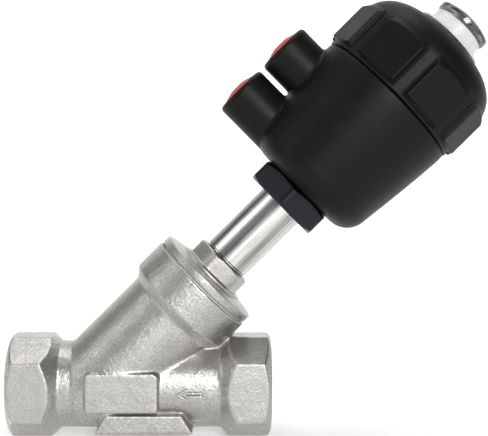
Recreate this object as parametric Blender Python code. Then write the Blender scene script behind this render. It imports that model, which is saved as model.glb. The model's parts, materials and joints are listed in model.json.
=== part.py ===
"""A DN25 pneumatic angle seat valve, as the separate pieces that it comes apart into.

X runs along the pipe, Z is up, and the origin is on the pipe's axis at the middle of the valve body.
The stem's axis leaves the pipe's axis at STEM_ROOT_X and leans over by STEM_ANGLE. Every round piece
on it is turned about the local Z of the empty "stem_axis", so a height there is a distance along the
stem. The two air ports point along that empty's -X.
"""

import math

import bmesh
import bpy
from mathutils import Vector

MM = 0.001

# ---- Driving dimensions -------------------------------------------------------------------------
BODY_LENGTH = 105 * MM  # over the two threaded ends
STEM_ANGLE = math.radians(45)  # between the stem's axis and the vertical
STEM_ROOT_X = -16.6 * MM
STROKE = 10 * MM
STEM_R = 5 * MM
CYLINDER_R = 25 * MM  # bore of the actuator
PORT_PITCH = 24 * MM  # between the two air ports

SEATED = 0.3 * MM  # between two faces that rest on each other
RUNNING = 0.3 * MM  # radial clearance of a piece in its bore

# ---- Valve body ---------------------------------------------------------------------------------
BORE_R = 12.5 * MM
SOCKET_R = BORE_R + 2.65 * MM  # core of the pipe thread
SOCKET_DEPTH = 17 * MM
SOCKET_CHAMFER = 1 * MM
NECK_R = BORE_R + 4.9 * MM
END_FLATS = 2 * (SOCKET_R + 5.35 * MM)
END_TRIM = END_FLATS / 2 - 0.5 * MM  # half the height over the trimmed top and bottom corners
END_WIDTH = 17.3 * MM  # of a hexagonal end, at the middle of a flat
END_FACE_R = SOCKET_R + 3.45 * MM

CHAMBER_R = 16.5 * MM
BODY_WALL = 3.5 * MM
ARM_R = CHAMBER_R + BODY_WALL
ARM_LOW_Z = -13.5 * MM  # of the flat under the arm's round end, inside the neck
SEAT_BORE_R = 11 * MM
SEAT_HEIGHT = 10 * MM  # of the seat's lip above the pipe's axis, along the stem
SEAT_LIP = 1 * MM
SEAT_LIP_R = SEAT_BORE_R + 1.5 * MM
SEAT_WALL = 3 * MM
SEAT_OVERCUT = 4 * MM  # of the seat bore into the left bore
COLLAR_BORE_R = 19.8 * MM
COLLAR_R = COLLAR_BORE_R + BODY_WALL
COLLAR_LENGTH = 12.9 * MM
COLLAR_CONE = 4 * MM
GASKET_WIDTH = 1.5 * MM
GASKET_THICK = 1.2 * MM
GASKET_REBATE_R = COLLAR_BORE_R + GASKET_WIDTH + RUNNING

FOOT_Z = -17.5 * MM
FOOT_EDGE_Z = -16.3 * MM
FOOT_TOP_Z = -9.3 * MM
FOOT_Y = 18.2 * MM
FOOT_SOLE_Y = 14 * MM
FOOT_LEFT_X = -17.3 * MM
FOOT_RIGHT_X = 21.1 * MM
FOOT_DRAFT = 4.2 * MM
PLATE_LEFT_X = -20.9 * MM
PLATE_RIGHT_X = 7.6 * MM
PLATE_HALF_HEIGHT = 7.7 * MM
PLATE_PROUD = 0.7 * MM

# ---- Plug on the end of the stem ----------------------------------------------------------------
SEAL_R = SEAT_LIP_R + 0.5 * MM
SEAL_THICK = 3 * MM
SEAL_HOLE_R = 4.3 * MM
HOLDER_RIM = 1.3 * MM
HOLDER_SKIRT = 2.5 * MM
HOLDER_DISC = 7.4 * MM
HUB_R = STEM_R + 3 * MM
HUB_LENGTH = 9 * MM
HUB_FLOOR = 1 * MM
RETAINER_R = SEAT_BORE_R - 2.5 * MM
RETAINER_THICK = 2 * MM
SCREW_R = 3 * MM
SCREW_HEAD_R = 5 * MM
SCREW_HEAD = 4 * MM
SCREW_FLATS = 5 * MM
SCREW_SOCKET_DEPTH = 2.5 * MM
SCREW_REACH = 5.5 * MM  # of the shank into the plug holder
PIN_R = 1.5 * MM
PIN_ABOVE_DISC = 5 * MM

# ---- Bonnet and stem tube -----------------------------------------------------------------------
HUB_MARGIN = 6.5 * MM  # from the open plug's hub to the bonnet
BONNET_THREAD = 11.9 * MM
BONNET_R = COLLAR_BORE_R - RUNNING
BONNET_HOLE_R = STEM_R + 0.6 * MM
BONNET_LIFT = 0.8 * MM  # of the flange above the collar
FLANGE_R = COLLAR_R - 0.4 * MM
FLANGE_THICK = 3.2 * MM
FLANGE_BEVEL = 0.9 * MM
FLANGE_TOP_R = FLANGE_R - 4.9 * MM
BONNET_HEX = 8.2 * MM
BONNET_HEX_TURN = math.radians(-113)
BONNET_HEX_WALL = 2.2 * MM

PACKING_WIDTH = 2 * MM
TUBE_BORE_R = STEM_R + RUNNING + PACKING_WIDTH + RUNNING
TUBE_WALL = 2.6 * MM
TUBE_R = TUBE_BORE_R + TUBE_WALL
TUBE_SPIGOT_R = TUBE_R - 1.2 * MM
TUBE_SPIGOT = 16.8 * MM
TUBE_LIP_R = STEM_R + 1.2 * MM
TUBE_LIP = 2 * MM
TUBE_EXPOSED = 31.2 * MM
TUBE_COLLAR_R = TUBE_R + 2.4 * MM
TUBE_COLLAR = 3.8 * MM

GUIDE_BUSH = 6 * MM
PACKING_SPRING = 13.4 * MM
PACKING_SPRING_WIRE = 1.4 * MM
PACKING_SPRING_TURNS = 6
PACKING_WASHER = 1 * MM
PACKING_RINGS = 4
CHEVRON_RISE = 1 * MM
CHEVRON_THICK = 1.7 * MM
GLAND = 8 * MM
GLAND_NUT = 10 * MM
GLAND_SLOT_WIDTH = 3 * MM
GLAND_SLOT_DEPTH = 3 * MM

# ---- Swivel nut between the tube and the actuator -----------------------------------------------
NUT_HEX = 9.6 * MM
NUT_HEX_TURN = math.radians(-95)
NUT_FLOOR = 2.2 * MM  # of the nut's pocket, above the hexagon
NUT_SPIGOT_WALL = 1.5 * MM
NUT_SHOULDER = 1.6 * MM  # of the hexagon's flats beyond the spigot
SWIVEL_SEAL = 2.1 * MM

# ---- Actuator housing ---------------------------------------------------------------------------
HOUSING_R = CYLINDER_R + 6.7 * MM
HOUSING_BASE_R = CYLINDER_R + 3.3 * MM  # above the rounded bottom edge
HOUSING_FLAT_R = 18.5 * MM
HOUSING_EDGE = 10 * MM  # height of the rounded bottom edge
HOUSING_CHAMFER = 0.3 * MM
HOUSING_BULGE = 1.25  # exponent of the wall's gentle curve outwards
HUB_WALL = 2.3 * MM
WEB = 5.7 * MM  # from the nut's socket to the top of the hub
ROD_SEAT = 1.7 * MM
ROD_SEAL = 2 * MM
ROD_BUSH_WALL = 2.7 * MM
TRENCH_FLOOR = 5.9 * MM  # of the air chamber, above the housing's bottom
RIM_BAND = 2.6 * MM
NECK_WALL = 3.4 * MM
NECK_LENGTH = 11.4 * MM
CAP_SEAL_WIDTH = 1.5 * MM
CAP_SEAL_THICK = 2 * MM
CAP_SEAL_HEIGHT = 7.7 * MM

PORT_HEIGHT = 11.4 * MM  # of the lower air port, above the housing's bottom
PORT_R = 11 * MM
PORT_REACH = 13.3 * MM  # of the port faces beyond the housing's rim
PORT_MARGIN = 3.6 * MM  # from the upper port to the cap
PORT_ROOT = 15 * MM
PORT_EDGE = 1.6 * MM
PORT_BORE_R = 5.9 * MM
PORT_FLOOR = 8 * MM  # of the port's bore, outside the cylinder
AIR_HOLE_R = 2 * MM
PLUG_FLANGE_R = 8 * MM
PLUG_FLANGE = 2 * MM
PLUG_DOME = 0.7 * MM
PLUG_SHANK = 8 * MM
PLUG_WALL = 1.4 * MM
PORT_RECESS = 1 * MM

# ---- Piston, springs and indicator --------------------------------------------------------------
PISTON_REST = 1.5 * MM  # above the hub, with the valve closed
PISTON_HEIGHT = 9 * MM
PISTON_GAP = 0.4 * MM
SPRING_RIDGE = 2.5 * MM  # height of the ridge between the two springs
RIDGE_HALF_WIDTH = 1 * MM
PISTON_SEAL_WIDTH = 2.5 * MM
PISTON_SEAL_THICK = 2.4 * MM
PISTON_SEAL_HEIGHT = 2 * MM
GUIDE_RING_WIDTH = 1 * MM
GUIDE_RING_THICK = 1.6 * MM
GUIDE_RING_HEIGHT = 6 * MM
ROD_R = STEM_R - 1 * MM  # of the stem above its shoulder
PISTON_WASHER_R = ROD_R + 5 * MM
PISTON_WASHER = 1.5 * MM
PISTON_NUT_FLATS = 2 * (ROD_R + 2.5 * MM)
PISTON_NUT = 5.4 * MM
ROD_END = 1.5 * MM  # of the stem beyond the piston nut

INNER_WIRE = 2.5 * MM
INNER_SPRING_R = PISTON_WASHER_R + 3.3 * MM
INNER_TURNS = 7
OUTER_WIRE = 3.2 * MM
OUTER_SPRING_R = INNER_SPRING_R + 6.2 * MM
OUTER_TURNS = 6
SPRING_SEAT = 1.5 * MM
SPRING_SEAT_BORDER = 1 * MM  # of the seat beyond the springs

INDICATOR_R = 3.2 * MM
INDICATOR_PIN_R = 1.7 * MM
INDICATOR_PIN = 6 * MM
BUTTON_R = 7.5 * MM
BUTTON_HEIGHT = 5 * MM
BUTTON_REST = 1.5 * MM  # above the floor of the cap's recess
BUTTON_SOCKET = 2.5 * MM
BUTTON_EDGE = 1 * MM

# ---- Cap and sight dome -------------------------------------------------------------------------
CAP_R = CYLINDER_R + 7 * MM
CAP_LIP = 2 * MM
CAP_STRAIGHT = 21.1 * MM  # of the cap's side, from its bottom edge to the dome
CAP_SHOULDER_R = 16.5 * MM  # of the arc from the side to the top
CAP_SHOULDER_DROP = 4.5 * MM  # of that arc's centre below the end of the straight side
CAP_CHAMBER_R = CYLINDER_R + 1 * MM
CAP_CEILING = 3.2 * MM
RECESS_DEPTH = 6.6 * MM
PAD_COUNT = 8
PAD_TURN = math.radians(18)
PAD_FACE = CAP_R + 0.6 * MM  # of a pad's flat face from the axis
PAD_HALF_ANGLE = math.radians(15.75)
PAD_DRAFT = 0.8 * MM
PAD_LOW = 2.7 * MM  # above the cap's bottom edge
PAD_HEIGHT = 15.9 * MM
PAD_SLOPE = 2.6 * MM
PAD_ROOT = 3 * MM  # of a pad inside the cap's side

DOME_SPIGOT_R = BUTTON_R + 4.2 * MM
DOME_BORE_R = BUTTON_R + 1 * MM
DOME_SEAL_R = 0.55 * MM
DOME_SEAL_RING_R = DOME_SPIGOT_R + 2.5 * MM
DOME_SEAL_DEPTH = 0.6 * MM
DOME_FLANGE_R = DOME_SPIGOT_R + 3.3 * MM
DOME_FLANGE = 1.1 * MM
DOME_NECK_R = DOME_BORE_R + 2.8 * MM
DOME_HEAD_R = DOME_NECK_R + 0.7 * MM
DOME_HEAD = 5 * MM
DOME_HEAD_EDGE = 3 * MM
DOME_WALL = 2.5 * MM
DOME_CAVITY_EDGE = 1 * MM
BUTTON_HEADROOM = 1 * MM

# ---- Heights along the stem, from the seat upwards ----------------------------------------------
SEAL_LOW = SEAT_HEIGHT + SEATED
DISC_LOW = SEAL_LOW + SEAL_THICK + SEATED
DISC_TOP = DISC_LOW + HOLDER_DISC
HUB_TOP = DISC_TOP + HUB_LENGTH
RETAINER_TOP = SEAL_LOW - SEATED
RETAINER_LOW = RETAINER_TOP - RETAINER_THICK
STEM_LOW = DISC_TOP + HUB_FLOOR + SEATED
PIN_HEIGHT = DISC_TOP + PIN_ABOVE_DISC

BONNET_LOW = HUB_TOP + STROKE + HUB_MARGIN
COLLAR_TOP = BONNET_LOW + BONNET_THREAD
FLANGE_LOW = COLLAR_TOP + BONNET_LIFT
FLANGE_TOP = FLANGE_LOW + FLANGE_THICK + FLANGE_BEVEL
BONNET_TOP = FLANGE_TOP + BONNET_HEX
TUBE_SHOULDER = BONNET_TOP + SEATED
TUBE_LOW = TUBE_SHOULDER - TUBE_SPIGOT
NUT_LOW = BONNET_TOP + TUBE_EXPOSED
NUT_HEX_TOP = NUT_LOW + NUT_HEX
HOUSING_LOW = NUT_HEX_TOP + SEATED
POCKET_LOW = NUT_HEX_TOP + NUT_FLOOR
TUBE_COLLAR_LOW = POCKET_LOW + SEATED
TUBE_TOP = TUBE_COLLAR_LOW + TUBE_COLLAR
SWIVEL_SEAL_LOW = TUBE_TOP + SEATED
NUT_TOP = SWIVEL_SEAL_LOW + SWIVEL_SEAL
SOCKET_TOP = NUT_TOP + SEATED

HOUSING_HUB_TOP = SOCKET_TOP + WEB
LOWER_PORT = HOUSING_LOW + PORT_HEIGHT
UPPER_PORT = LOWER_PORT + PORT_PITCH
HOUSING_TOP = UPPER_PORT + PORT_R + PORT_MARGIN
NECK_TOP = HOUSING_TOP + NECK_LENGTH
PORT_FACE = HOUSING_R + PORT_REACH

PISTON_LOW = HOUSING_HUB_TOP + PISTON_REST
PISTON_TOP = PISTON_LOW + PISTON_HEIGHT
PISTON_NUT_LOW = PISTON_TOP + SEATED + PISTON_WASHER + SEATED
STEM_TOP = PISTON_NUT_LOW + PISTON_NUT + ROD_END

CAP_LOW = HOUSING_TOP + SEATED
CAP_SHOULDER = CAP_LOW + CAP_STRAIGHT
CAP_TOP = CAP_SHOULDER - CAP_SHOULDER_DROP + CAP_SHOULDER_R
DOME_SEAL_FLOOR = CAP_TOP - DOME_SEAL_DEPTH
RECESS_FLOOR = DOME_SEAL_FLOOR - RECESS_DEPTH
CAP_CEILING_LOW = RECESS_FLOOR - CAP_CEILING
SPRING_SEAT_LOW = CAP_CEILING_LOW - SEATED - SPRING_SEAT
BUTTON_LOW = RECESS_FLOOR + BUTTON_REST
BUTTON_TOP = BUTTON_LOW + BUTTON_HEIGHT
DOME_LOW = RECESS_FLOOR + SEATED
DOME_SEAL_HEIGHT = DOME_SEAL_FLOOR + SEATED + DOME_SEAL_R
DOME_FLANGE_LOW = DOME_SEAL_HEIGHT + DOME_SEAL_R + SEATED
DOME_CAVITY_TOP = BUTTON_TOP + STROKE + BUTTON_HEADROOM
DOME_TOP = DOME_CAVITY_TOP + DOME_WALL

# ---- Radii that follow from their neighbours ----------------------------------------------------
TUBE_HOLE_R = TUBE_R + RUNNING
POCKET_R = TUBE_COLLAR_R + RUNNING
NUT_SPIGOT_R = POCKET_R + NUT_SPIGOT_WALL
NUT_FLATS = 2 * (NUT_SPIGOT_R + NUT_SHOULDER)
NUT_SOCKET_R = NUT_SPIGOT_R + RUNNING
HOUSING_HUB_R = NUT_SOCKET_R + HUB_WALL
BONNET_BORE_R = TUBE_SPIGOT_R + RUNNING
BONNET_FLATS = 2 * (BONNET_BORE_R + BONNET_HEX_WALL)
STEM_HOLE_R = STEM_R + RUNNING
ROD_HOLE_R = ROD_R + RUNNING
ROD_BUSH_R = STEM_HOLE_R + ROD_BUSH_WALL
PACKING_R = TUBE_BORE_R - RUNNING
PISTON_R = CYLINDER_R - PISTON_GAP
NECK_OUTER_R = CYLINDER_R + NECK_WALL
SPRING_RIDGE_R = (INNER_SPRING_R + INNER_WIRE / 2 + OUTER_SPRING_R - OUTER_WIRE / 2) / 2

LARGE_STEPS = 32
MIDDLE_STEPS = 24
SMALL_STEPS = 16
TINY = 1e-7
OVERCUT = 1 * MM  # of a cutting or joining shape beyond what it meets
SHARP = math.radians(35)

FINISHES = {  # base colour, roughness, metallic
    "cast_steel": ((0.42, 0.41, 0.38, 1), 0.45, 1.0),
    "machined_steel": ((0.62, 0.61, 0.58, 1), 0.25, 1.0),
    "spring_steel": ((0.30, 0.30, 0.31, 1), 0.35, 1.0),
    "black_plastic": ((0.013, 0.014, 0.012, 1), 0.45, 0.0),
    "nut_plastic": ((0.010, 0.011, 0.016, 1), 0.35, 0.0),
    "red_plastic": ((0.50, 0.020, 0.025, 1), 0.40, 0.0),
    "clear_plastic": ((0.90, 0.92, 0.92, 0.35), 0.08, 0.0),
    "white_polymer": ((0.80, 0.80, 0.77, 1), 0.50, 0.0),
    "black_rubber": ((0.012, 0.012, 0.012, 1), 0.65, 0.0),
    "anodised_aluminium": ((0.60, 0.61, 0.63, 1), 0.35, 1.0),
    "brass": ((0.60, 0.42, 0.18, 1), 0.30, 1.0),
}


# ---- Modelling helpers --------------------------------------------------------------------------
def clear_scene():
    for obj in list(bpy.data.objects):
        bpy.data.objects.remove(obj, do_unlink=True)


def finish(name):
    """The Principled material of one of the FINISHES, made on first use."""
    material = bpy.data.materials.get(name)
    if material is None:
        colour, roughness, metallic = FINISHES[name]
        material = bpy.data.materials.new(name)
        material.use_nodes = True
        shader = material.node_tree.nodes["Principled BSDF"]
        shader.inputs["Base Color"].default_value = colour
        shader.inputs["Alpha"].default_value = colour[3]
        shader.inputs["Roughness"].default_value = roughness
        shader.inputs["Metallic"].default_value = metallic
    return material


def frame_empty(name, location, rotation, parent=None):
    empty = bpy.data.objects.new(name, None)
    empty.location = location
    empty.rotation_euler = rotation
    empty.parent = parent
    bpy.context.scene.collection.objects.link(empty)
    return empty


def placed(name, bm, parent):
    """The closed mesh of bm as an object in parent's frame."""
    bmesh.ops.recalc_face_normals(bm, faces=bm.faces)
    mesh = bpy.data.meshes.new(name)
    bm.to_mesh(mesh)
    bm.free()
    mesh.shade_smooth()
    mesh.set_sharp_from_angle(angle=SHARP)
    obj = bpy.data.objects.new(name, mesh)
    obj.parent = parent
    bpy.context.scene.collection.objects.link(obj)
    return obj


def piece(name, bm, material, parent):
    obj = placed(name, bm, parent)
    obj.data.materials.append(finish(material))
    return obj


def tool(name, bm, parent):
    """A shape that only cuts, trims or joins another."""
    obj = placed(name, bm, parent)
    obj.hide_render = True
    obj.display_type = "WIRE"
    return obj


def boolean(obj, operation, *others):
    for other in others:
        modifier = obj.modifiers.new(other.name, "BOOLEAN")
        modifier.operation = operation
        modifier.solver = "EXACT"
        modifier.object = other
    return obj


def turned(outline, steps):
    """A solid turned about Z from the (radius, height) corners of half its section."""
    bm = bmesh.new()
    rings = []
    for radius, height in outline:
        if radius < TINY:
            rings.append([bm.verts.new((0, 0, height))])
            continue
        angles = (2 * math.pi * k / steps for k in range(steps))
        rings.append([bm.verts.new((radius * math.cos(a), radius * math.sin(a), height)) for a in angles])
    for one, two in zip(rings, rings[1:] + rings[:1]):
        flat_end = abs(one[0].co.z - two[0].co.z) < TINY and 1 in (len(one), len(two))
        if flat_end:
            bm.faces.new(max(one, two, key=len))
            continue
        for k in range(steps):
            after = k + 1
            corners = (one[k % len(one)], one[after % len(one)], two[after % len(two)], two[k % len(two)])
            corners = list(dict.fromkeys(corners))
            if len(corners) > 2:
                bm.faces.new(corners)
    loose = [v for v in bm.verts if not v.link_faces]
    bmesh.ops.delete(bm, geom=loose, context="VERTS")
    return bm


def sleeve(inner, outer, low, high, steps=SMALL_STEPS):
    return turned([(inner, low), (outer, low), (outer, high), (inner, high)], steps)


def rod(radius, low, high, steps=SMALL_STEPS):
    return turned([(0, low), (radius, low), (radius, high), (0, high)], steps)


def arc(centre, radii, start, end, steps):
    """Points of an elliptical arc about a (radius, height) centre, angles in degrees."""
    angles = [math.radians(start + (end - start) * k / steps) for k in range(steps + 1)]
    return [(centre[0] + radii[0] * math.cos(a), centre[1] + radii[1] * math.sin(a)) for a in angles]


def prism(corners, low, high):
    """A polygon of (x, y) corners, drawn out along Z."""
    bm = bmesh.new()
    base = bm.faces.new([bm.verts.new((x, y, low)) for x, y in corners])
    drawn = bmesh.ops.extrude_face_region(bm, geom=[base])
    tops = [v for v in drawn["geom"] if isinstance(v, bmesh.types.BMVert)]
    bmesh.ops.translate(bm, verts=tops, vec=(0, 0, high - low))
    return bm


def hexagon(flats, turn=0.0):
    radius = flats / 2 / math.cos(math.pi / 6)
    angles = [turn + math.pi / 3 * k for k in range(6)]
    return [(radius * math.cos(a), radius * math.sin(a)) for a in angles]


def hull(points):
    bm = bmesh.new()
    for point in points:
        bm.verts.new(point)
    made = bmesh.ops.convex_hull(bm, input=bm.verts)
    spare = [g for g in made["geom_interior"] if isinstance(g, bmesh.types.BMVert)]
    bmesh.ops.delete(bm, geom=spare, context="VERTS")
    return bm


def sliced(bm, point, normal):
    """What lies behind a plane, closed where it was cut."""
    parts = bm.verts[:] + bm.edges[:] + bm.faces[:]
    cut = bmesh.ops.bisect_plane(bm, geom=parts, plane_co=point, plane_no=normal, clear_outer=True)
    rim = [g for g in cut["geom_cut"] if isinstance(g, bmesh.types.BMEdge)]
    bmesh.ops.holes_fill(bm, edges=rim)
    return bm


def coil(radius, wire, low, high, turns, steps, sides=5):
    """A compression spring between two heights, with one closed turn at each end."""
    closed = wire * 1.15
    bottom = low + wire / 2
    top = high - wire / 2
    count = turns * steps
    bm = bmesh.new()
    rings = []
    for k in range(count + 1):
        turn = k / steps
        angle = 2 * math.pi * turn
        if turn < 1:
            height = bottom + closed * turn
        elif turn > turns - 1:
            height = top - closed * (turns - turn)
        else:
            open_share = (turn - 1) / (turns - 2)
            height = bottom + closed + (top - bottom - 2 * closed) * open_share
        outward = Vector((math.cos(angle), math.sin(angle), 0))
        middle = outward * radius + Vector((0, 0, height))
        around = (2 * math.pi * side / sides for side in range(sides))
        spokes = [outward * math.cos(a) + Vector((0, 0, math.sin(a))) for a in around]
        section = [middle + spoke * (wire / 2) for spoke in spokes]
        rings.append([bm.verts.new(point) for point in section])
    for one, two in zip(rings, rings[1:]):
        for side in range(sides):
            after = (side + 1) % sides
            bm.faces.new((one[side], one[after], two[after], two[side]))
    bm.faces.new(rings[0])
    bm.faces.new(rings[-1])
    return bm


# ---- Valve body ---------------------------------------------------------------------------------
def end_corners():
    """A hexagon with two flats facing sideways, and its top and bottom corners trimmed."""
    corner_r = END_FLATS / 2 / math.cos(math.pi / 6)
    flat = (corner_r - END_TRIM) * math.tan(math.pi / 3)
    quarter = [(END_TRIM, flat), (corner_r / 2, END_FLATS / 2)]
    half = quarter + [(-x, y) for x, y in reversed(quarter)]
    return half + [(-x, -y) for x, y in half]


def body_run(pipe_axis):
    """The neck and its two hexagonal ends, bevelled towards their faces and towards the neck."""
    face = BODY_LENGTH / 2
    inner = face - END_WIDTH
    corner_r = END_FLATS / 2 / math.cos(math.pi / 6)
    half = [
        (NECK_R, inner + NECK_R - END_FLATS / 2),
        (corner_r, inner + corner_r - END_FLATS / 2),
        (corner_r, face - (corner_r - END_FACE_R) * math.tan(math.pi / 6)),
        (END_FACE_R, face),
        (0, face),
    ]
    outline = [(radius, -height) for radius, height in reversed(half)] + half
    run = piece("valve_body", turned(outline, LARGE_STEPS), "cast_steel", pipe_axis)
    hexagonal = tool("hexagonal_ends", prism(end_corners(), -face - OVERCUT, face + OVERCUT), pipe_axis)
    return boolean(run, "INTERSECT", hexagonal)


def body_foot():
    """The cast pad under the body, with sloping ends and a flat sole."""
    top_x = (FOOT_LEFT_X + FOOT_DRAFT, FOOT_RIGHT_X - FOOT_DRAFT)
    edge_x = (FOOT_LEFT_X, FOOT_RIGHT_X)
    corners = [(x, y, FOOT_TOP_Z) for x in top_x for y in (-FOOT_Y, FOOT_Y)]
    corners += [(x, y, FOOT_EDGE_Z) for x in edge_x for y in (-FOOT_Y, FOOT_Y)]
    corners += [(x, y, FOOT_Z) for x in edge_x for y in (-FOOT_SOLE_Y, FOOT_SOLE_Y)]
    return tool("foot", hull(corners), None)


def body_plate():
    """The raised plates on the two sides of the body, as one bar through it."""
    face = ARM_R + PLATE_PROUD
    corners = [
        (PLATE_LEFT_X, -face),
        (PLATE_RIGHT_X, -face),
        (PLATE_RIGHT_X, face),
        (PLATE_LEFT_X, face),
    ]
    return tool("side_plates", prism(corners, -PLATE_HALF_HEIGHT, PLATE_HALF_HEIGHT), None)


def body_arm(stem_axis):
    ball = arc((0, 0), (ARM_R, ARM_R), -90, 0, 6)
    ball[0] = (0, -ARM_R)
    collar_low = COLLAR_TOP - COLLAR_LENGTH
    outline = ball + [
        (ARM_R, collar_low - COLLAR_CONE),
        (COLLAR_R, collar_low),
        (COLLAR_R, COLLAR_TOP),
        (0, COLLAR_TOP),
    ]
    arm = tool("arm", turned(outline, LARGE_STEPS), stem_axis)
    wide = 2 * ARM_R
    below = [(-wide + STEM_ROOT_X, -wide), (wide, -wide), (wide, wide), (-wide + STEM_ROOT_X, wide)]
    ground = tool("ground", prism(below, -wide, ARM_LOW_Z), None)
    return boolean(arm, "DIFFERENCE", ground)


def body_passages(pipe_axis, stem_axis):
    """The two sockets, the two bores that stop at the slanting seat wall, and the stem's chamber."""
    face = BODY_LENGTH / 2
    floor = face - SOCKET_DEPTH
    along = Vector((-math.sin(STEM_ANGLE), 0, math.cos(STEM_ANGLE)))
    root = Vector((0, 0, STEM_ROOT_X))
    seat_low = root + along * (SEAT_HEIGHT - SEAT_LIP - SEAT_WALL)
    seat_top = root + along * (SEAT_HEIGHT - SEAT_LIP)
    left = sliced(rod(BORE_R, -floor - OVERCUT, floor, MIDDLE_STEPS), seat_low, along)
    right = sliced(rod(BORE_R, -floor, floor + OVERCUT, MIDDLE_STEPS), seat_top, -along)
    passages = [tool("left_bore", left, pipe_axis), tool("right_bore", right, pipe_axis)]
    for side, name in ((-1, "left"), (1, "right")):
        socket = [
            (0, side * floor),
            (SOCKET_R, side * floor),
            (SOCKET_R, side * (face - SOCKET_CHAMFER)),
            (SOCKET_R + 2 * SOCKET_CHAMFER, side * (face + SOCKET_CHAMFER)),
            (0, side * (face + SOCKET_CHAMFER)),
        ]
        passages.append(tool(f"{name}_socket", turned(socket, MIDDLE_STEPS), pipe_axis))
    rebate = COLLAR_TOP - GASKET_THICK + BONNET_LIFT - 2 * SEATED
    chamber = [
        (0, SEAT_HEIGHT - SEAT_LIP - SEAT_WALL - SEAT_OVERCUT),
        (SEAT_BORE_R, SEAT_HEIGHT - SEAT_LIP - SEAT_WALL - SEAT_OVERCUT),
        (SEAT_BORE_R, SEAT_HEIGHT),
        (SEAT_LIP_R, SEAT_HEIGHT),
        (SEAT_LIP_R, SEAT_HEIGHT - SEAT_LIP),
        (CHAMBER_R, SEAT_HEIGHT - SEAT_LIP),
        (CHAMBER_R, BONNET_LOW - SEATED),
        (COLLAR_BORE_R, BONNET_LOW - SEATED),
        (COLLAR_BORE_R, rebate),
        (GASKET_REBATE_R, rebate),
        (GASKET_REBATE_R, COLLAR_TOP + OVERCUT),
        (0, COLLAR_TOP + OVERCUT),
    ]
    passages.append(tool("chamber", turned(chamber, MIDDLE_STEPS), stem_axis))
    return passages


def valve_body(pipe_axis, stem_axis):
    body = body_run(pipe_axis)
    boolean(body, "UNION", body_arm(stem_axis), body_foot(), body_plate())
    boolean(body, "DIFFERENCE", *body_passages(pipe_axis, stem_axis))


# ---- Bonnet, stem tube and packing --------------------------------------------------------------
def bonnet(stem_axis):
    outline = [
        (0, BONNET_LOW),
        (BONNET_R, BONNET_LOW),
        (BONNET_R, FLANGE_LOW),
        (FLANGE_R, FLANGE_LOW),
        (FLANGE_R, FLANGE_LOW + FLANGE_THICK),
        (FLANGE_TOP_R, FLANGE_TOP),
        (0, FLANGE_TOP),
    ]
    cover = piece("bonnet", turned(outline, LARGE_STEPS), "cast_steel", stem_axis)
    bore = [
        (0, BONNET_LOW - OVERCUT),
        (BONNET_HOLE_R, BONNET_LOW - OVERCUT),
        (BONNET_HOLE_R, TUBE_LOW - SEATED),
        (BONNET_BORE_R, TUBE_LOW - SEATED),
        (BONNET_BORE_R, BONNET_TOP + OVERCUT),
        (0, BONNET_TOP + OVERCUT),
    ]
    corners = hexagon(BONNET_FLATS, BONNET_HEX_TURN)
    hexagonal = bevelled_hexagon("bonnet_hex", corners, FLANGE_TOP - OVERCUT, BONNET_TOP, stem_axis)
    boolean(cover, "UNION", hexagonal)
    boolean(cover, "DIFFERENCE", tool("bonnet_bore", turned(bore, MIDDLE_STEPS), stem_axis))
    top = COLLAR_TOP + BONNET_LIFT - SEATED
    outer_r = COLLAR_BORE_R + GASKET_WIDTH
    gasket = sleeve(COLLAR_BORE_R, outer_r, top - GASKET_THICK, top, LARGE_STEPS)
    piece("body_gasket", gasket, "white_polymer", stem_axis)


def bevelled_hexagon(name, corners, low, high, parent, both=False):
    """A hexagonal prism whose corners are bevelled at the top, or at both ends."""
    corner_r = math.hypot(*corners[0])
    flat_r = corner_r * math.cos(math.pi / 6)
    drop = (corner_r - flat_r) * math.tan(math.pi / 6)
    base_r = flat_r if both else corner_r
    envelope = [
        (0, low),
        (base_r, low),
        (corner_r, low + drop),
        (corner_r, high - drop),
        (flat_r, high),
        (0, high),
    ]
    bevel = tool(f"{name}_bevel", turned(envelope, LARGE_STEPS), parent)
    return boolean(tool(name, prism(corners, low, high), parent), "INTERSECT", bevel)


def stem_tube(stem_axis):
    outline = [
        (TUBE_LIP_R, TUBE_LOW),
        (TUBE_SPIGOT_R, TUBE_LOW),
        (TUBE_SPIGOT_R, TUBE_SHOULDER),
        (TUBE_R, TUBE_SHOULDER),
        (TUBE_R, TUBE_COLLAR_LOW),
        (TUBE_COLLAR_R, TUBE_COLLAR_LOW),
        (TUBE_COLLAR_R, TUBE_TOP),
        (TUBE_BORE_R, TUBE_TOP),
        (TUBE_BORE_R, TUBE_LOW + TUBE_LIP),
        (TUBE_LIP_R, TUBE_LOW + TUBE_LIP),
    ]
    piece("stem_tube", turned(outline, MIDDLE_STEPS), "machined_steel", stem_axis)


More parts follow.
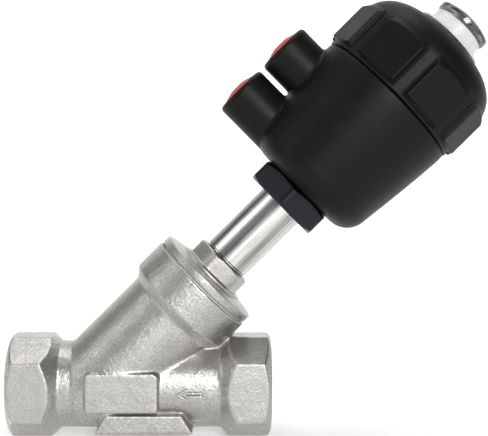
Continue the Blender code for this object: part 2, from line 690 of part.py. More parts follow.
def packing(stem_axis):
    """What guides and seals the stem inside the tube, from the bottom up."""
    inner, outer = STEM_HOLE_R, PACKING_R
    low = TUBE_LOW + TUBE_LIP + SEATED
    piece("guide_bush", sleeve(inner, outer, low, low + GUIDE_BUSH), "white_polymer", stem_axis)
    low += GUIDE_BUSH + SEATED
    middle_r = (inner + outer) / 2
    spring = coil(middle_r, PACKING_SPRING_WIRE, low, low + PACKING_SPRING, PACKING_SPRING_TURNS, 10)
    piece("packing_spring", spring, "spring_steel", stem_axis)
    low += PACKING_SPRING + SEATED
    piece("packing_washer", sleeve(inner, outer, low, low + PACKING_WASHER), "machined_steel", stem_axis)
    low += PACKING_WASHER + SEATED
    for number in range(1, PACKING_RINGS + 1):
        chevron = [
            (inner, low),
            (middle_r, low + CHEVRON_RISE),
            (outer, low),
            (outer, low + CHEVRON_THICK),
            (middle_r, low + CHEVRON_THICK + CHEVRON_RISE),
            (inner, low + CHEVRON_THICK),
        ]
        piece(f"packing_ring_{number}", turned(chevron, SMALL_STEPS), "white_polymer", stem_axis)
        low += CHEVRON_THICK + SEATED
    low += CHEVRON_RISE
    piece("packing_gland", sleeve(inner, outer, low, low + GLAND), "brass", stem_axis)
    low += GLAND + SEATED
    nut = piece("gland_nut", sleeve(inner, outer, low, low + GLAND_NUT), "machined_steel", stem_axis)
    half = GLAND_SLOT_WIDTH / 2
    slot = [(-TUBE_R, -half), (TUBE_R, -half), (TUBE_R, half), (-TUBE_R, half)]
    top = low + GLAND_NUT
    slot_tool = tool("gland_slot", prism(slot, top - GLAND_SLOT_DEPTH, top + OVERCUT), stem_axis)
    boolean(nut, "DIFFERENCE", slot_tool)


# ---- Stem and plug ------------------------------------------------------------------------------
def stem(stem_axis):
    outline = [
        (0, STEM_LOW),
        (STEM_R, STEM_LOW),
        (STEM_R, PISTON_LOW - SEATED),
        (ROD_R, PISTON_LOW - SEATED),
        (ROD_R, STEM_TOP),
        (INDICATOR_PIN_R + RUNNING, STEM_TOP),
        (INDICATOR_PIN_R + RUNNING, STEM_TOP - INDICATOR_PIN - SEATED),
        (0, STEM_TOP - INDICATOR_PIN - SEATED),
    ]
    shaft = piece("stem", turned(outline, SMALL_STEPS), "machined_steel", stem_axis)
    boolean(shaft, "DIFFERENCE", pin_hole("stem_pin_hole", stem_axis))


def pin_hole(name, stem_axis):
    hole = tool(name, rod(PIN_R + RUNNING, -2 * HUB_R, 2 * HUB_R, 12), stem_axis)
    lay_across(hole)
    return hole


def lay_across(obj):
    """Turns a piece made about Z to lie across the stem at the pin's height."""
    obj.location = (0, 0, PIN_HEIGHT)
    obj.rotation_euler = (math.pi / 2, 0, 0)


def plug(stem_axis):
    rim_r = SEAL_R + RUNNING
    outline = [
        (0, DISC_LOW),
        (rim_r, DISC_LOW),
        (rim_r, DISC_LOW - HOLDER_SKIRT),
        (rim_r + HOLDER_RIM, DISC_LOW - HOLDER_SKIRT),
        (rim_r + HOLDER_RIM, DISC_TOP),
        (HUB_R, DISC_TOP),
        (HUB_R, HUB_TOP),
        (STEM_HOLE_R, HUB_TOP),
        (STEM_HOLE_R, DISC_TOP + HUB_FLOOR),
        (0, DISC_TOP + HUB_FLOOR),
    ]
    holder = piece("plug_holder", turned(outline, MIDDLE_STEPS), "machined_steel", stem_axis)
    screw_top = DISC_LOW + SCREW_REACH
    thread = tool("screw_hole", rod(SCREW_R + RUNNING, DISC_LOW - OVERCUT, screw_top + SEATED), stem_axis)
    boolean(holder, "DIFFERENCE", thread, pin_hole("holder_pin_hole", stem_axis))
    lay_across(piece("plug_pin", rod(PIN_R, -HUB_R, HUB_R, 12), "machined_steel", stem_axis))

    seal = sleeve(SEAL_HOLE_R, SEAL_R, SEAL_LOW, SEAL_LOW + SEAL_THICK, MIDDLE_STEPS)
    piece("plug_seal", seal, "white_polymer", stem_axis)
    washer = sleeve(SCREW_R + RUNNING, RETAINER_R, RETAINER_LOW, RETAINER_TOP)
    piece("seal_retainer", washer, "machined_steel", stem_axis)
    head_top = RETAINER_LOW - SEATED
    head_low = head_top - SCREW_HEAD
    shape = [
        (0, head_low),
        (SCREW_HEAD_R, head_low),
        (SCREW_HEAD_R, head_top),
        (SCREW_R, head_top),
        (SCREW_R, screw_top),
        (0, screw_top),
    ]
    screw = piece("plug_screw", turned(shape, SMALL_STEPS), "machined_steel", stem_axis)
    socket = prism(hexagon(SCREW_FLATS), head_low - OVERCUT, head_low + SCREW_SOCKET_DEPTH)
    boolean(screw, "DIFFERENCE", tool("screw_socket", socket, stem_axis))


# ---- Swivel nut ---------------------------------------------------------------------------------
def swivel_nut(stem_axis):
    corners = hexagon(NUT_FLATS, NUT_HEX_TURN)
    spigot = rod(NUT_SPIGOT_R, NUT_LOW + OVERCUT, NUT_TOP, MIDDLE_STEPS)
    nut = piece("swivel_nut", spigot, "nut_plastic", stem_axis)
    bore = [
        (0, NUT_LOW - OVERCUT),
        (TUBE_HOLE_R, NUT_LOW - OVERCUT),
        (TUBE_HOLE_R, POCKET_LOW),
        (POCKET_R, POCKET_LOW),
        (POCKET_R, NUT_TOP + OVERCUT),
        (0, NUT_TOP + OVERCUT),
    ]
    hexagonal = bevelled_hexagon("nut_hex", corners, NUT_LOW, NUT_HEX_TOP, stem_axis, both=True)
    boolean(nut, "UNION", hexagonal)
    boolean(nut, "DIFFERENCE", tool("nut_bore", turned(bore, MIDDLE_STEPS), stem_axis))
    seal = sleeve(TUBE_BORE_R, TUBE_COLLAR_R, SWIVEL_SEAL_LOW, NUT_TOP)
    piece("swivel_seal", seal, "black_rubber", stem_axis)


# ---- Actuator housing ---------------------------------------------------------------------------
def housing_outline():
    """A flat bottom, a round lower edge, a side that swells gently to the rim, and the threaded neck."""
    edge_low = HOUSING_LOW + HOUSING_CHAMFER
    edge_top = edge_low + HOUSING_EDGE
    centre = (HOUSING_FLAT_R, edge_top)
    radii = (HOUSING_BASE_R - HOUSING_FLAT_R, HOUSING_EDGE)
    side = []
    height = HOUSING_TOP - RIM_BAND - edge_top
    for share in (0.25, 0.5, 0.75, 1.0):
        swell = (HOUSING_R - HOUSING_BASE_R) * (1 - share) ** HOUSING_BULGE
        side.append((HOUSING_R - swell, edge_top + height * share))
    foot = [(0, HOUSING_LOW), (HOUSING_FLAT_R, HOUSING_LOW)]
    neck = [(HOUSING_R, HOUSING_TOP), (NECK_OUTER_R, HOUSING_TOP), (NECK_OUTER_R, NECK_TOP), (0, NECK_TOP)]
    return foot + arc(centre, radii, -90, 0, 6) + side + neck


def port_boss(name, port_axis):
    rim = PORT_R - PORT_EDGE
    edge = arc((rim, PORT_FACE - PORT_EDGE), (PORT_EDGE, PORT_EDGE), 0, 90, 3)
    outline = [(0, PORT_ROOT), (PORT_R, PORT_ROOT)] + edge + [(0, PORT_FACE)]
    return tool(name, turned(outline, MIDDLE_STEPS), port_axis)


def port_bore(name, port_axis):
    floor = CYLINDER_R + PORT_FLOOR
    recess_r = PLUG_FLANGE_R + RUNNING
    outline = [
        (0, CYLINDER_R - OVERCUT),
        (AIR_HOLE_R, CYLINDER_R - OVERCUT),
        (AIR_HOLE_R, floor),
        (PORT_BORE_R, floor),
        (PORT_BORE_R, PORT_FACE - PORT_RECESS),
        (recess_r, PORT_FACE - PORT_RECESS),
        (recess_r, PORT_FACE + OVERCUT),
        (0, PORT_FACE + OVERCUT),
    ]
    return tool(name, turned(outline, SMALL_STEPS), port_axis)


def housing(stem_axis, port_axes):
    shell = piece("housing", turned(housing_outline(), LARGE_STEPS), "black_plastic", stem_axis)
    socket = rod(NUT_SOCKET_R, HOUSING_LOW - OVERCUT, SOCKET_TOP, MIDDLE_STEPS)
    seat = SOCKET_TOP + ROD_SEAT
    cylinder = [
        (0, SOCKET_TOP - OVERCUT),
        (STEM_HOLE_R, SOCKET_TOP - OVERCUT),
        (STEM_HOLE_R, seat),
        (ROD_BUSH_R + RUNNING, seat),
        (ROD_BUSH_R + RUNNING, HOUSING_HUB_TOP),
        (HOUSING_HUB_R, HOUSING_HUB_TOP),
        (HOUSING_HUB_R, HOUSING_LOW + TRENCH_FLOOR),
        (CYLINDER_R, HOUSING_LOW + TRENCH_FLOOR),
        (CYLINDER_R, NECK_TOP + OVERCUT),
        (0, NECK_TOP + OVERCUT),
    ]
    seal_low = HOUSING_TOP + CAP_SEAL_HEIGHT
    groove_r = NECK_OUTER_R - CAP_SEAL_WIDTH - RUNNING
    groove_top = seal_low + CAP_SEAL_THICK + SEATED
    groove = sleeve(groove_r, NECK_OUTER_R + OVERCUT, seal_low - SEATED, groove_top, LARGE_STEPS)
    boolean(shell, "UNION", *[port_boss(f"{name}_boss", axis) for name, axis in port_axes.items()])
    hollows = [port_bore(f"{name}_bore", axis) for name, axis in port_axes.items()]
    hollows.append(tool("nut_socket", socket, stem_axis))
    hollows.append(tool("cylinder", turned(cylinder, LARGE_STEPS), stem_axis))
    hollows += [tool("cap_seal_groove", groove, stem_axis)]
    boolean(shell, "DIFFERENCE", *hollows)

    ring = sleeve(groove_r + RUNNING, NECK_OUTER_R, seal_low, seal_low + CAP_SEAL_THICK, LARGE_STEPS)
    piece("cap_seal", ring, "black_rubber", stem_axis)
    low = seat + SEATED
    piece("rod_seal", sleeve(STEM_HOLE_R, ROD_BUSH_R, low, low + ROD_SEAL), "black_rubber", stem_axis)
    low += ROD_SEAL + SEATED
    piece("rod_bush", sleeve(STEM_HOLE_R, ROD_BUSH_R, low, HOUSING_HUB_TOP), "white_polymer", stem_axis)


def port_plug(name, port_axis):
    """A push-in plug with a low domed head, open at its inner end."""
    low = PORT_FACE - PORT_RECESS + SEATED
    high = low + PLUG_FLANGE
    shank_r = PORT_BORE_R - RUNNING
    outline = [
        (shank_r - PLUG_WALL, low - PLUG_SHANK),
        (shank_r, low - PLUG_SHANK),
        (shank_r, low),
        (PLUG_FLANGE_R, low),
        (PLUG_FLANGE_R, high),
    ]
    swell = arc((0, high), (PLUG_FLANGE_R, PLUG_DOME), 30, 90, 2)
    outline += swell[:-1] + [
        (0, high + PLUG_DOME),
        (0, low),
        (shank_r - PLUG_WALL, low),
    ]
    piece(name, turned(outline, SMALL_STEPS), "red_plastic", port_axis)


# ---- Piston, springs and indicator --------------------------------------------------------------
def piston(stem_axis):
    seal_low = PISTON_LOW + PISTON_SEAL_HEIGHT
    seal_r = PISTON_R - PISTON_SEAL_WIDTH
    ring_low = PISTON_LOW + GUIDE_RING_HEIGHT
    ring_r = PISTON_R - GUIDE_RING_WIDTH
    ridge_high = PISTON_TOP + SPRING_RIDGE
    outline = [
        (ROD_HOLE_R, PISTON_LOW),
        (PISTON_R, PISTON_LOW),
        (PISTON_R, seal_low - SEATED),
        (seal_r - RUNNING, seal_low - SEATED),
        (seal_r - RUNNING, seal_low + PISTON_SEAL_THICK + SEATED),
        (PISTON_R, seal_low + PISTON_SEAL_THICK + SEATED),
        (PISTON_R, ring_low - SEATED),
        (ring_r - RUNNING, ring_low - SEATED),
        (ring_r - RUNNING, ring_low + GUIDE_RING_THICK + SEATED),
        (PISTON_R, ring_low + GUIDE_RING_THICK + SEATED),
        (PISTON_R, PISTON_TOP),
        (SPRING_RIDGE_R + RIDGE_HALF_WIDTH, PISTON_TOP),
        (SPRING_RIDGE_R + RIDGE_HALF_WIDTH, ridge_high),
        (SPRING_RIDGE_R - RIDGE_HALF_WIDTH, ridge_high),
        (SPRING_RIDGE_R - RIDGE_HALF_WIDTH, PISTON_TOP),
        (ROD_HOLE_R, PISTON_TOP),
    ]
    piece("piston", turned(outline, LARGE_STEPS), "anodised_aluminium", stem_axis)
    seal = sleeve(seal_r, CYLINDER_R - RUNNING, seal_low, seal_low + PISTON_SEAL_THICK, LARGE_STEPS)
    piece("piston_seal", seal, "black_rubber", stem_axis)
    ring = sleeve(ring_r, CYLINDER_R - RUNNING, ring_low, ring_low + GUIDE_RING_THICK, LARGE_STEPS)
    piece("piston_guide_ring", ring, "white_polymer", stem_axis)
    low = PISTON_TOP + SEATED
    washer = sleeve(ROD_HOLE_R, PISTON_WASHER_R, low, low + PISTON_WASHER)
    piece("piston_washer", washer, "machined_steel", stem_axis)
    top = PISTON_NUT_LOW + PISTON_NUT
    shape = prism(hexagon(PISTON_NUT_FLATS), PISTON_NUT_LOW, top)
    nut = piece("piston_nut", shape, "machined_steel", stem_axis)
    thread = rod(ROD_HOLE_R, PISTON_NUT_LOW - OVERCUT, top + OVERCUT)
    boolean(nut, "DIFFERENCE", tool("nut_thread", thread, stem_axis))


def springs(stem_axis):
    low, high = PISTON_TOP + SEATED, SPRING_SEAT_LOW - SEATED
    outer = coil(OUTER_SPRING_R, OUTER_WIRE, low, high, OUTER_TURNS, 12)
    piece("outer_spring", outer, "spring_steel", stem_axis)
    inner = coil(INNER_SPRING_R, INNER_WIRE, low, high, INNER_TURNS, 12)
    piece("inner_spring", inner, "spring_steel", stem_axis)
    seat_r = OUTER_SPRING_R + OUTER_WIRE / 2 + SPRING_SEAT_BORDER
    seat_hole_r = INNER_SPRING_R - INNER_WIRE / 2 - SPRING_SEAT_BORDER
    seat = sleeve(seat_hole_r, seat_r, SPRING_SEAT_LOW, SPRING_SEAT_LOW + SPRING_SEAT, MIDDLE_STEPS)
    piece("spring_seat", seat, "spring_steel", stem_axis)


def indicator(stem_axis):
    outline = [
        (0, STEM_TOP - INDICATOR_PIN),
        (INDICATOR_PIN_R, STEM_TOP - INDICATOR_PIN),
        (INDICATOR_PIN_R, STEM_TOP + SEATED),
        (INDICATOR_R, STEM_TOP + SEATED),
        (INDICATOR_R, BUTTON_LOW - SEATED),
        (INDICATOR_PIN_R, BUTTON_LOW - SEATED),
        (INDICATOR_PIN_R, BUTTON_LOW + BUTTON_SOCKET - SEATED),
        (0, BUTTON_LOW + BUTTON_SOCKET - SEATED),
    ]
    piece("indicator_rod", turned(outline, SMALL_STEPS), "machined_steel", stem_axis)
    button = [
        (INDICATOR_PIN_R + RUNNING, BUTTON_LOW),
        (BUTTON_R, BUTTON_LOW),
        (BUTTON_R, BUTTON_TOP - BUTTON_EDGE),
        (BUTTON_R - BUTTON_EDGE, BUTTON_TOP),
        (0, BUTTON_TOP),
        (0, BUTTON_LOW + BUTTON_SOCKET),
        (INDICATOR_PIN_R + RUNNING, BUTTON_LOW + BUTTON_SOCKET),
    ]
    piece("indicator_button", turned(button, SMALL_STEPS), "red_plastic", stem_axis)


# ---- Cap and sight dome -------------------------------------------------------------------------
def cap_pad(number, stem_axis):
    """One flat-faced grip pad, with sloping sides and a sloping top."""
    half = PAD_FACE * math.tan(PAD_HALF_ANGLE)
    root_r = CAP_R - PAD_ROOT
    low = CAP_LOW + PAD_LOW
    high = low + PAD_HEIGHT
    corners = [(PAD_FACE, side * half, height) for side in (-1, 1) for height in (low, high)]
    root = half + PAD_DRAFT
    corners += [(root_r, side * root, low - PAD_DRAFT) for side in (-1, 1)]
    corners += [(root_r, side * root, high + PAD_SLOPE) for side in (-1, 1)]
    pad = tool(f"cap_pad_{number}", hull(corners), stem_axis)
    pad.rotation_euler = (0, 0, PAD_TURN + 2 * math.pi * number / PAD_COUNT)
    return pad


def cap(stem_axis):
    centre = (CAP_R - CAP_SHOULDER_R, CAP_SHOULDER - CAP_SHOULDER_DROP)
    radius = CAP_SHOULDER_R
    start = math.degrees(math.asin(CAP_SHOULDER_DROP / radius))
    shoulder = arc(centre, (radius, radius), start, 90, 6)
    skirt_r = NECK_OUTER_R + RUNNING
    outline = [
        (skirt_r, CAP_LOW),
        (CAP_R - CAP_LIP / 2, CAP_LOW),
        (CAP_R, CAP_LOW + CAP_LIP),
        (CAP_R, CAP_SHOULDER),
    ]
    outline += shoulder
    outline += [
        (DOME_FLANGE_R + RUNNING, CAP_TOP),
        (DOME_FLANGE_R + RUNNING, DOME_SEAL_FLOOR),
        (DOME_SPIGOT_R + RUNNING, DOME_SEAL_FLOOR),
        (DOME_SPIGOT_R + RUNNING, RECESS_FLOOR),
        (INDICATOR_R + RUNNING, RECESS_FLOOR),
        (INDICATOR_R + RUNNING, CAP_CEILING_LOW),
        (CAP_CHAMBER_R, CAP_CEILING_LOW),
        (CAP_CHAMBER_R, NECK_TOP + SEATED),
        (skirt_r, NECK_TOP + SEATED),
    ]
    cover = piece("cap", turned(outline, LARGE_STEPS), "black_plastic", stem_axis)
    boolean(cover, "UNION", *[cap_pad(number, stem_axis) for number in range(PAD_COUNT)])


def sight_dome(stem_axis):
    section = arc((DOME_SEAL_RING_R, DOME_SEAL_HEIGHT), (DOME_SEAL_R, DOME_SEAL_R), 0, 360, 8)[:-1]
    piece("dome_seal", turned(section, MIDDLE_STEPS), "black_rubber", stem_axis)
    flange_top = DOME_FLANGE_LOW + DOME_FLANGE
    head_low = DOME_TOP - DOME_HEAD
    outline = [
        (DOME_BORE_R, DOME_LOW),
        (DOME_SPIGOT_R, DOME_LOW),
        (DOME_SPIGOT_R, DOME_FLANGE_LOW),
        (DOME_FLANGE_R, DOME_FLANGE_LOW),
        (DOME_FLANGE_R, flange_top),
        (DOME_NECK_R, flange_top),
        (DOME_NECK_R, head_low),
    ]
    centre = (DOME_HEAD_R - DOME_HEAD_EDGE, DOME_TOP - DOME_HEAD_EDGE)
    outline += [(DOME_HEAD_R, head_low)] + arc(centre, (DOME_HEAD_EDGE, DOME_HEAD_EDGE), 0, 90, 3)
    outline += [(0, DOME_TOP), (0, DOME_CAVITY_TOP), (DOME_BORE_R - DOME_CAVITY_EDGE, DOME_CAVITY_TOP)]
    outline += [(DOME_BORE_R, DOME_CAVITY_TOP - DOME_CAVITY_EDGE)]
    piece("sight_dome", turned(outline, MIDDLE_STEPS), "clear_plastic", stem_axis)


def main():
    clear_scene()
    pipe_axis = frame_empty("pipe_axis", (0, 0, 0), (0, math.pi / 2, 0))
    stem_axis = frame_empty("stem_axis", (STEM_ROOT_X, 0, 0), (0, STEM_ANGLE, 0))
    sideways = (0, -math.pi / 2, 0)
    port_axes = {
        "lower": frame_empty("lower_port_axis", (0, 0, LOWER_PORT), sideways, stem_axis),
        "upper": frame_empty("upper_port_axis", (0, 0, UPPER_PORT), sideways, stem_axis),
    }
    valve_body(pipe_axis, stem_axis)
    bonnet(stem_axis)
    stem_tube(stem_axis)
    packing(stem_axis)
    stem(stem_axis)
    plug(stem_axis)
    swivel_nut(stem_axis)
    housing(stem_axis, port_axes)
    for name, axis in port_axes.items():
        port_plug(f"{name}_port_plug", axis)
    piston(stem_axis)
    springs(stem_axis)
    indicator(stem_axis)
    cap(stem_axis)
    sight_dome(stem_axis)


main()
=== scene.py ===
"""The looks of the pneumatic angle seat valve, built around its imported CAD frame.

Round pieces are made in the stem's own frame: local Z runs along the stem from the pipe's axis, the
air ports point along local -X, and heights there come from the CAD nodes.
"""

import json
import math

import bmesh
import bpy
import numpy as np
from mathutils import Matrix, Vector

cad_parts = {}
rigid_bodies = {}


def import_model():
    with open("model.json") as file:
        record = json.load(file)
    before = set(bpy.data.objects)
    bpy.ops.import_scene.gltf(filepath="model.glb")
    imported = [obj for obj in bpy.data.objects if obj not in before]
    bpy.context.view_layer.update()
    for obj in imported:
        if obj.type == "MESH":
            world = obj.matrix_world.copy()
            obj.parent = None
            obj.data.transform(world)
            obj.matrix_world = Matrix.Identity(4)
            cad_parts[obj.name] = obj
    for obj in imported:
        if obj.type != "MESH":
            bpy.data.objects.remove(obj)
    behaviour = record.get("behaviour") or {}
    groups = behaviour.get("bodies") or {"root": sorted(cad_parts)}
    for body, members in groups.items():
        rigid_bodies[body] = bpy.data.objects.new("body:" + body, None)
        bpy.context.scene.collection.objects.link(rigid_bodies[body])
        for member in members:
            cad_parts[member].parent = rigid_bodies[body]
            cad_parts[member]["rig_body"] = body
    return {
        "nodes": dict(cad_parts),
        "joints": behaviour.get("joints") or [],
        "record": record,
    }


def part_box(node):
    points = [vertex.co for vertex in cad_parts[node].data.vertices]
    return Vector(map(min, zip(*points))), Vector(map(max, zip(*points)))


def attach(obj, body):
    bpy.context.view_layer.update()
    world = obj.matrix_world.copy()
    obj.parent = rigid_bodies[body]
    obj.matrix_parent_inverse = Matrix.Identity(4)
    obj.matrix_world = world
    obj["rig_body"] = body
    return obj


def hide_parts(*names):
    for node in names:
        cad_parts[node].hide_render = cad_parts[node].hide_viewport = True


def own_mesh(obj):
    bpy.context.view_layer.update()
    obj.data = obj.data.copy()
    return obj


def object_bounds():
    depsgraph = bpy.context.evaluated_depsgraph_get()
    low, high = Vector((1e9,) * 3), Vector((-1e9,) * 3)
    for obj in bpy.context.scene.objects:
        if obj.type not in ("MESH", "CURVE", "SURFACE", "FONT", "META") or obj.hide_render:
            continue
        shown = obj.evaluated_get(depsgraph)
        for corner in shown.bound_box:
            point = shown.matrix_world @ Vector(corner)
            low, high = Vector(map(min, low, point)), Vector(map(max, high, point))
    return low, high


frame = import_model()
cad_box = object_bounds()

MM = 0.001
JOINTS = {joint["name"]: joint for joint in frame["joints"]}
STEM_AXIS = Vector(JOINTS["stem_lift"]["axis"]).normalized()
STEM_ROOT = Vector(JOINTS["head_swivel"]["pos_m"])
ACROSS = Vector((0, 1, 0))
DOWNHILL = ACROSS.cross(STEM_AXIS)
STEM = Matrix.Translation(STEM_ROOT) @ Matrix((DOWNHILL, ACROSS, STEM_AXIS)).transposed().to_4x4()
PIPE = Matrix.Rotation(math.pi / 2, 4, "Y")

# ---- Camera and light ---------------------------------------------------------------------------
CAMERA_PLACE = Vector((0.0332, -0.4436, 0.0952))
CAMERA_AZIMUTH = math.radians(-1.06)
CAMERA_ELEVATION = math.radians(3.56)
CAMERA_ROLL = math.radians(0.24)
CAMERA_LENS = 81.04
FLOOR_DROP = 0.4 * MM


# ---- Places read from the frame -----------------------------------------------------------------
def span(node):
    """Lowest and highest height of a CAD node along the stem, and its largest radius about it."""
    to_stem = STEM.inverted()
    points = [to_stem @ v.co for v in frame["nodes"][node].data.vertices]
    heights = [p.z for p in points]
    return min(heights), max(heights), max(math.hypot(p.x, p.y) for p in points)


def port_matrix(node):
    """The frame of an air port: local Z leaves the port, from the stem's axis."""
    low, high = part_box(node)
    middle = (low + high) / 2 - STEM_ROOT
    on_axis = Matrix.Translation((0, 0, middle.dot(STEM_AXIS)))
    return STEM @ on_axis @ Matrix.Rotation(-math.pi / 2, 4, "Y")


# ---- Mesh helpers -------------------------------------------------------------------------------
def linked(name, mesh, matrix):
    obj = bpy.data.objects.new(name, mesh)
    obj.matrix_world = matrix
    bpy.context.scene.collection.objects.link(obj)
    return obj


def mesh_from(name, bm):
    bmesh.ops.recalc_face_normals(bm, faces=bm.faces)
    mesh = bpy.data.meshes.new(name)
    bm.to_mesh(mesh)
    bm.free()
    mesh.shade_smooth()
    return mesh


def rounded(corners, steps=5):
    """The points of an outline whose (x, y, radius) corners are rounded."""
    points = []
    for k, (x, y, radius) in enumerate(corners):
        if radius <= 0:
            points.append((x, y))
            continue
        here = Vector((x, y))
        before = (Vector(corners[k - 1][:2]) - here).normalized()
        after = (Vector(corners[(k + 1) % len(corners)][:2]) - here).normalized()
        half = before.angle(after) / 2
        centre = here + (before + after).normalized() * radius / math.sin(half)
        start = here + before * radius / math.tan(half) - centre
        end = here + after * radius / math.tan(half) - centre
        first = math.atan2(start.y, start.x)
        sweep = (math.atan2(end.y, end.x) - first + math.pi) % (2 * math.pi) - math.pi
        for j in range(steps + 1):
            angle = first + sweep * j / steps
            points.append((centre.x + radius * math.cos(angle), centre.y + radius * math.sin(angle)))
    return points


def arc(centre, radii, start, end, steps):
    angles = [math.radians(start + (end - start) * k / steps) for k in range(steps + 1)]
    return [(centre[0] + radii[0] * math.cos(a), centre[1] + radii[1] * math.sin(a)) for a in angles]


def grid_solid(rings):
    """A closed solid from rings of points, each joined to the next and the last to the first."""
    bm = bmesh.new()
    loops = [[bm.verts.new(p) for p in ring] for ring in rings]
    columns = max(len(loop) for loop in loops)
    for one, two in zip(loops, loops[1:] + loops[:1]):
        if len(one) == 1 and len(two) == 1:
            continue
        for k in range(columns):
            after = k + 1
            corners = (one[k % len(one)], one[after % len(one)], two[after % len(two)], two[k % len(two)])
            bm.faces.new(list(dict.fromkeys(corners)))
    return bm


def turned(name, outline, matrix, steps=128):
    """A turned solid from the (radius, height) points of half its section."""
    rings = []
    angles = [2 * math.pi * k / steps for k in range(steps)]
    for radius, height in outline:
        if radius < 1e-7:
            rings.append([(0, 0, height)])
        else:
            rings.append([(radius * math.cos(a), radius * math.sin(a), height) for a in angles])
    return linked(name, mesh_from(name, grid_solid(rings)), matrix)


def polar(name, angles, rows, matrix):
    """A solid from rows of (radii, height), where the radii may change with the angle."""
    rings = []
    for radii, height in rows:
        radii = np.broadcast_to(radii, angles.shape)
        rings.append([(r * math.cos(a), r * math.sin(a), height) for r, a in zip(radii, angles)])
    return linked(name, mesh_from(name, grid_solid(rings)), matrix)


def block(name, corners, low, high, matrix):
    """A polygon of (x, y) corners drawn out along Z."""
    bm = bmesh.new()
    base = bm.faces.new([bm.verts.new((x, y, low)) for x, y in corners])
    drawn = bmesh.ops.extrude_face_region(bm, geom=[base])
    tops = [v for v in drawn["geom"] if isinstance(v, bmesh.types.BMVert)]
    bmesh.ops.translate(bm, verts=tops, vec=(0, 0, high - low))
    return linked(name, mesh_from(name, bm), matrix)


def combined(base, operation, others):
    """base joined with, cut by or kept within the others, which are used up."""
    for other in others:
        modifier = base.modifiers.new(other.name, "BOOLEAN")
        modifier.operation = operation
        modifier.solver = "EXACT"
        modifier.object = other
    applied(base)
    for other in others:
        bpy.data.objects.remove(other, do_unlink=True)
    return base


def applied(obj):
    """Makes the modified shape the object's own mesh."""
    depsgraph = bpy.context.evaluated_depsgraph_get()
    mesh = bpy.data.meshes.new_from_object(obj.evaluated_get(depsgraph))
    obj.modifiers.clear()
    obj.data = mesh
    return obj


def remeshed(obj, voxel):
    modifier = obj.modifiers.new("remesh", "REMESH")
    modifier.mode = "VOXEL"
    modifier.voxel_size = voxel
    modifier.use_smooth_shade = True
    return applied(obj)


def points_of(obj):
    points = np.empty(len(obj.data.vertices) * 3)
    obj.data.vertices.foreach_get("co", points)
    return points.reshape(-1, 3)


def normals_of(obj):
    normals = np.empty(len(obj.data.vertices) * 3)
    obj.data.vertices.foreach_get("normal", normals)
    return normals.reshape(-1, 3)


def write_points(obj, points):
    obj.data.vertices.foreach_set("co", points.ravel())
    obj.data.update()


def softened(obj, rounds, hollow, crest):
    """Relaxes the surface: hollow is how fast inside corners fill, crest how fast edges wear down."""
    edges = np.empty(len(obj.data.edges) * 2, int)
    obj.data.edges.foreach_get("vertices", edges)
    one, two = edges.reshape(-1, 2).T
    points = points_of(obj)
    count = len(points)
    degree = np.bincount(one, minlength=count) + np.bincount(two, minlength=count)
    for k in range(rounds):
        if k % 10 == 0:
            write_points(obj, points)
            normals = normals_of(obj)
        pull = np.empty_like(points)
        for axis in range(3):
            total = np.bincount(one, points[two, axis], count) + np.bincount(two, points[one, axis], count)
            pull[:, axis] = total / degree - points[:, axis]
        outward = np.einsum("ij,ij->i", pull, normals)
        rate = np.where(outward > 0, hollow, crest)
        points = points + pull * rate[:, None]
    write_points(obj, points)
    return obj


def soft_min(a, b, edge):
    """The smaller of two values, rounded over about edge where they meet."""
    gap = np.maximum(edge - np.abs(a - b), 0) / edge
    return np.minimum(a, b) - gap * gap * edge / 4


def soft_max(a, b, edge):
    return -soft_min(-np.asarray(a), -np.asarray(b), edge)


def ramp(values, edge):
    """Nothing below zero and the value itself above, rounded over edge."""
    return soft_max(values, 0.0, edge)


def stands_for(obj, *nodes):
    """Puts a piece in the place of CAD nodes of one body, with its place in its mesh as theirs is."""
    obj.data.transform(obj.matrix_world)
    obj.matrix_world = Matrix()
    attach(obj, frame["nodes"][nodes[0]]["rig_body"])
    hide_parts(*nodes)
    return obj


